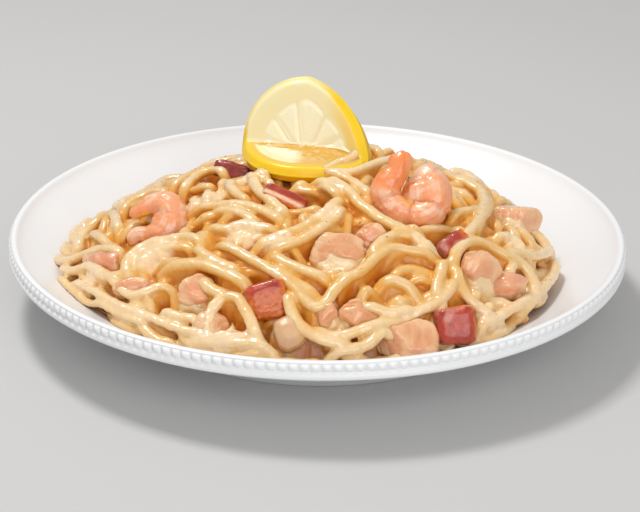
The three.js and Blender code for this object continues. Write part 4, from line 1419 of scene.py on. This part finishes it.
class PastaColours(bpy.types.PropertyGroup):
    glaze: colour_setting("Glaze", "Plate's white glaze", (0.835, 0.845, 0.87))
    strand: colour_setting("Strand", "Noodles on top", (0.74, 0.47, 0.165))
    # light is partly the paler coat of sauce and partly painted light on the strands' tops; shade and deep
    # are painted shade in the gaps, and shade also gives some strands a random darker tone
    light: colour_setting("Strand light", "Paler coat of sauce on the noodles", (0.84, 0.64, 0.385))
    shade: colour_setting("Strand shade", "Noodles in the gaps", (0.74, 0.36, 0.055))
    deep: colour_setting("Deep gap", "Deepest gaps", (0.54, 0.15, 0.01))
    sauce: colour_setting("Sauce", "Thick cream sauce", (0.87, 0.67, 0.43))
    lemon_peel: colour_setting("Peel", "Lemon peel", (0.87, 0.56, 0.004))
    # painted light: the next two colours are the standing half's pith and segments lit through from behind;
    # the third is the same flesh, not lit through, in the lying half
    lemon_pith_backlit: colour_setting("Pith lit through", "Pith of the standing half", (0.86, 0.77, 0.46))
    lemon_flesh_backlit: colour_setting("Lemon flesh", "Segments lit through", (0.9, 0.84, 0.6))
    lemon_deep: colour_setting("Lemon flesh lying", "Segments of the lying half", (0.66, 0.34, 0.006))
    shrimp_flesh: colour_setting("Shrimp", "Shrimp flesh", (0.88, 0.43, 0.215))
    shrimp_pink: colour_setting("Shrimp pink", "Pinker shrimp flesh", (0.84, 0.35, 0.175))
    shrimp_pale: colour_setting("Shrimp pale", "Palest shrimp flesh", (0.9, 0.62, 0.44))
    # painted shade: the deep orange of the curl's shaded inner side
    shrimp_curl_shade: colour_setting("Shrimp inside", "Inner side of the curl", (0.90, 0.42, 0.05))
    shrimp_band: colour_setting("Shrimp band", "Red bands between the rings", (0.86, 0.26, 0.07))
    shrimp_tail: colour_setting("Shrimp tail", "Orange tail", (0.84, 0.24, 0.055))
    fish: colour_setting("Fish", "Cooked fish", (0.7, 0.29, 0.12))
    fish_pink: colour_setting("Fish pink", "Pinker cooked fish", (0.75, 0.29, 0.165))
    fish_light: colour_setting("Fish light", "Paler fish with sauce", (0.83, 0.54, 0.3))
    mushroom: colour_setting("Mushroom", "Mushroom piece", (0.62, 0.37, 0.22))
    crab_skin: colour_setting("Crab skin", "Red skin of the crab stick", (0.58, 0.06, 0.02))
    crab_dark: colour_setting("Crab skin dark", "Darker red skin", (0.3, 0.025, 0.012))
    crab_deep: colour_setting("Crab skin deep", "Skin of the darkest pieces", (0.19, 0.018, 0.01))
    crab_side: colour_setting("Crab side", "Stained side of the crab stick", (0.48, 0.06, 0.012))
    crab_fibre: colour_setting("Crab fibre", "Orange fibres", (0.66, 0.165, 0.016))
    crab_edge: colour_setting("Crab edge", "Bright upper edge of the skin", (0.78, 0.14, 0.03))
    crab_film: colour_setting("Crab film", "Thin sauce on the crab", (0.62, 0.33, 0.27))
    pepper: colour_setting("Pepper", "Ground pepper", (0.06, 0.03, 0.015))
    herb: colour_setting("Herb", "Dried herbs", (0.16, 0.13, 0.03))


class PastaStage(bpy.types.PropertyGroup):
    lens: FloatProperty(name="Lens", description="Camera's focal length in millimetres", default=102.073)
    key: FloatProperty(name="Key light", description="Power of the large soft light", default=8, unit="POWER")
    fill: FloatProperty(name="Fill light", description="Power of the light in front", default=8, unit="POWER")
    sky: FloatProperty(name="Sky", description="Strength of the light from all round", default=0.52)
    floor: colour_setting("Floor", "Plain pale floor", (0.55, 0.55, 0.55))


class PieceOperator:
    bl_options = {"REGISTER", "UNDO"}


class PASTA_OT_plate(PieceOperator, bpy.types.Operator):
    """Builds the glazed plate with its fluted rim"""
    bl_idname = "pasta.plate"
    bl_label = "Plate"

    def execute(self, context):
        build_plate(glaze_finish(context.scene.pasta_colours))
        return {"FINISHED"}


class PASTA_OT_noodles(PieceOperator, bpy.types.Operator):
    """Lays the heap of noodles and joins them with their sauce"""
    bl_idname = "pasta.noodles"
    bl_label = "Noodles and sauce"

    def execute(self, context):
        build_noodles(context.scene.pasta_sizes, noodle_finish(context.scene.pasta_colours))
        return {"FINISHED"}


class PASTA_OT_lemon(PieceOperator, bpy.types.Operator):
    """Builds the folded lemon slice"""
    bl_idname = "pasta.lemon"
    bl_label = "Lemon slice"

    def execute(self, context):
        build_lemon(lemon_finish(context.scene.pasta_colours))
        return {"FINISHED"}


class PASTA_OT_shrimps(PieceOperator, bpy.types.Operator):
    """Builds the two curled shrimps"""
    bl_idname = "pasta.shrimps"
    bl_label = "Shrimps"

    def execute(self, context):
        material = shrimp_finish(context.scene.pasta_colours)
        for name in SHRIMPS:
            build_shrimp(name, material)
        return {"FINISHED"}


class PASTA_OT_fish(PieceOperator, bpy.types.Operator):
    """Builds the chunks of fish and the piece of mushroom"""
    bl_idname = "pasta.fish"
    bl_label = "Fish and mushroom"

    def execute(self, context):
        material = fish_finish(context.scene.pasta_colours)
        for node in FISH:
            build_fish(node, material)
        build_mushroom("mushroom_front", mushroom_finish(context.scene.pasta_colours))
        return {"FINISHED"}


class PASTA_OT_crab(PieceOperator, bpy.types.Operator):
    """Builds the pieces of crab stick"""
    bl_idname = "pasta.crab"
    bl_label = "Crab sticks"

    def execute(self, context):
        material = crab_finish(context.scene.pasta_colours)
        for node in CRAB:
            build_crab(node, material)
        return {"FINISHED"}


class PASTA_OT_flakes(PieceOperator, bpy.types.Operator):
    """Scatters the flakes of pepper and herbs over the noodles"""
    bl_idname = "pasta.flakes"
    bl_label = "Pepper and herbs"

    def execute(self, context):
        build_flakes(context.scene.pasta_sizes, flake_finish(context.scene.pasta_colours))
        return {"FINISHED"}


class PASTA_OT_stage(PieceOperator, bpy.types.Operator):
    """Sets the pale floor, the soft lights and the camera"""
    bl_idname = "pasta.stage"
    bl_label = "Floor, lights and camera"

    def execute(self, context):
        build_stage(context.scene, context.scene.pasta_stage)
        return {"FINISHED"}


OPERATORS = (PASTA_OT_plate, PASTA_OT_noodles, PASTA_OT_lemon, PASTA_OT_shrimps, PASTA_OT_fish,
             PASTA_OT_crab, PASTA_OT_flakes, PASTA_OT_stage)


class PASTA_PT_panel(bpy.types.Panel):
    bl_label = "Plate of pasta"
    bl_idname = "PASTA_PT_panel"
    bl_space_type = "VIEW_3D"
    bl_region_type = "UI"
    bl_category = "Pasta"

    def draw(self, context):
        for group in (context.scene.pasta_sizes, context.scene.pasta_colours, context.scene.pasta_stage):
            box = self.layout.box()
            for key in group.__annotations__:
                box.prop(group, key)
        for operator in OPERATORS:
            self.layout.operator(operator.bl_idname)


GROUPS = (("pasta_sizes", PastaSizes), ("pasta_colours", PastaColours), ("pasta_stage", PastaStage))


def register():
    for _, group in GROUPS:
        bpy.utils.register_class(group)
    for operator in OPERATORS + (PASTA_PT_panel,):
        bpy.utils.register_class(operator)
    for key, group in GROUPS:
        setattr(bpy.types.Scene, key, PointerProperty(type=group))


def unregister():
    for key, group in GROUPS:
        delattr(bpy.types.Scene, key)
        bpy.utils.unregister_class(group)
    for operator in OPERATORS + (PASTA_PT_panel,):
        bpy.utils.unregister_class(operator)


def main():
    register()
    deselect()
    for operator in OPERATORS:
        group, name = operator.bl_idname.split(".")
        getattr(getattr(bpy.ops, group), name)()


if __name__ == "__main__":
    main()
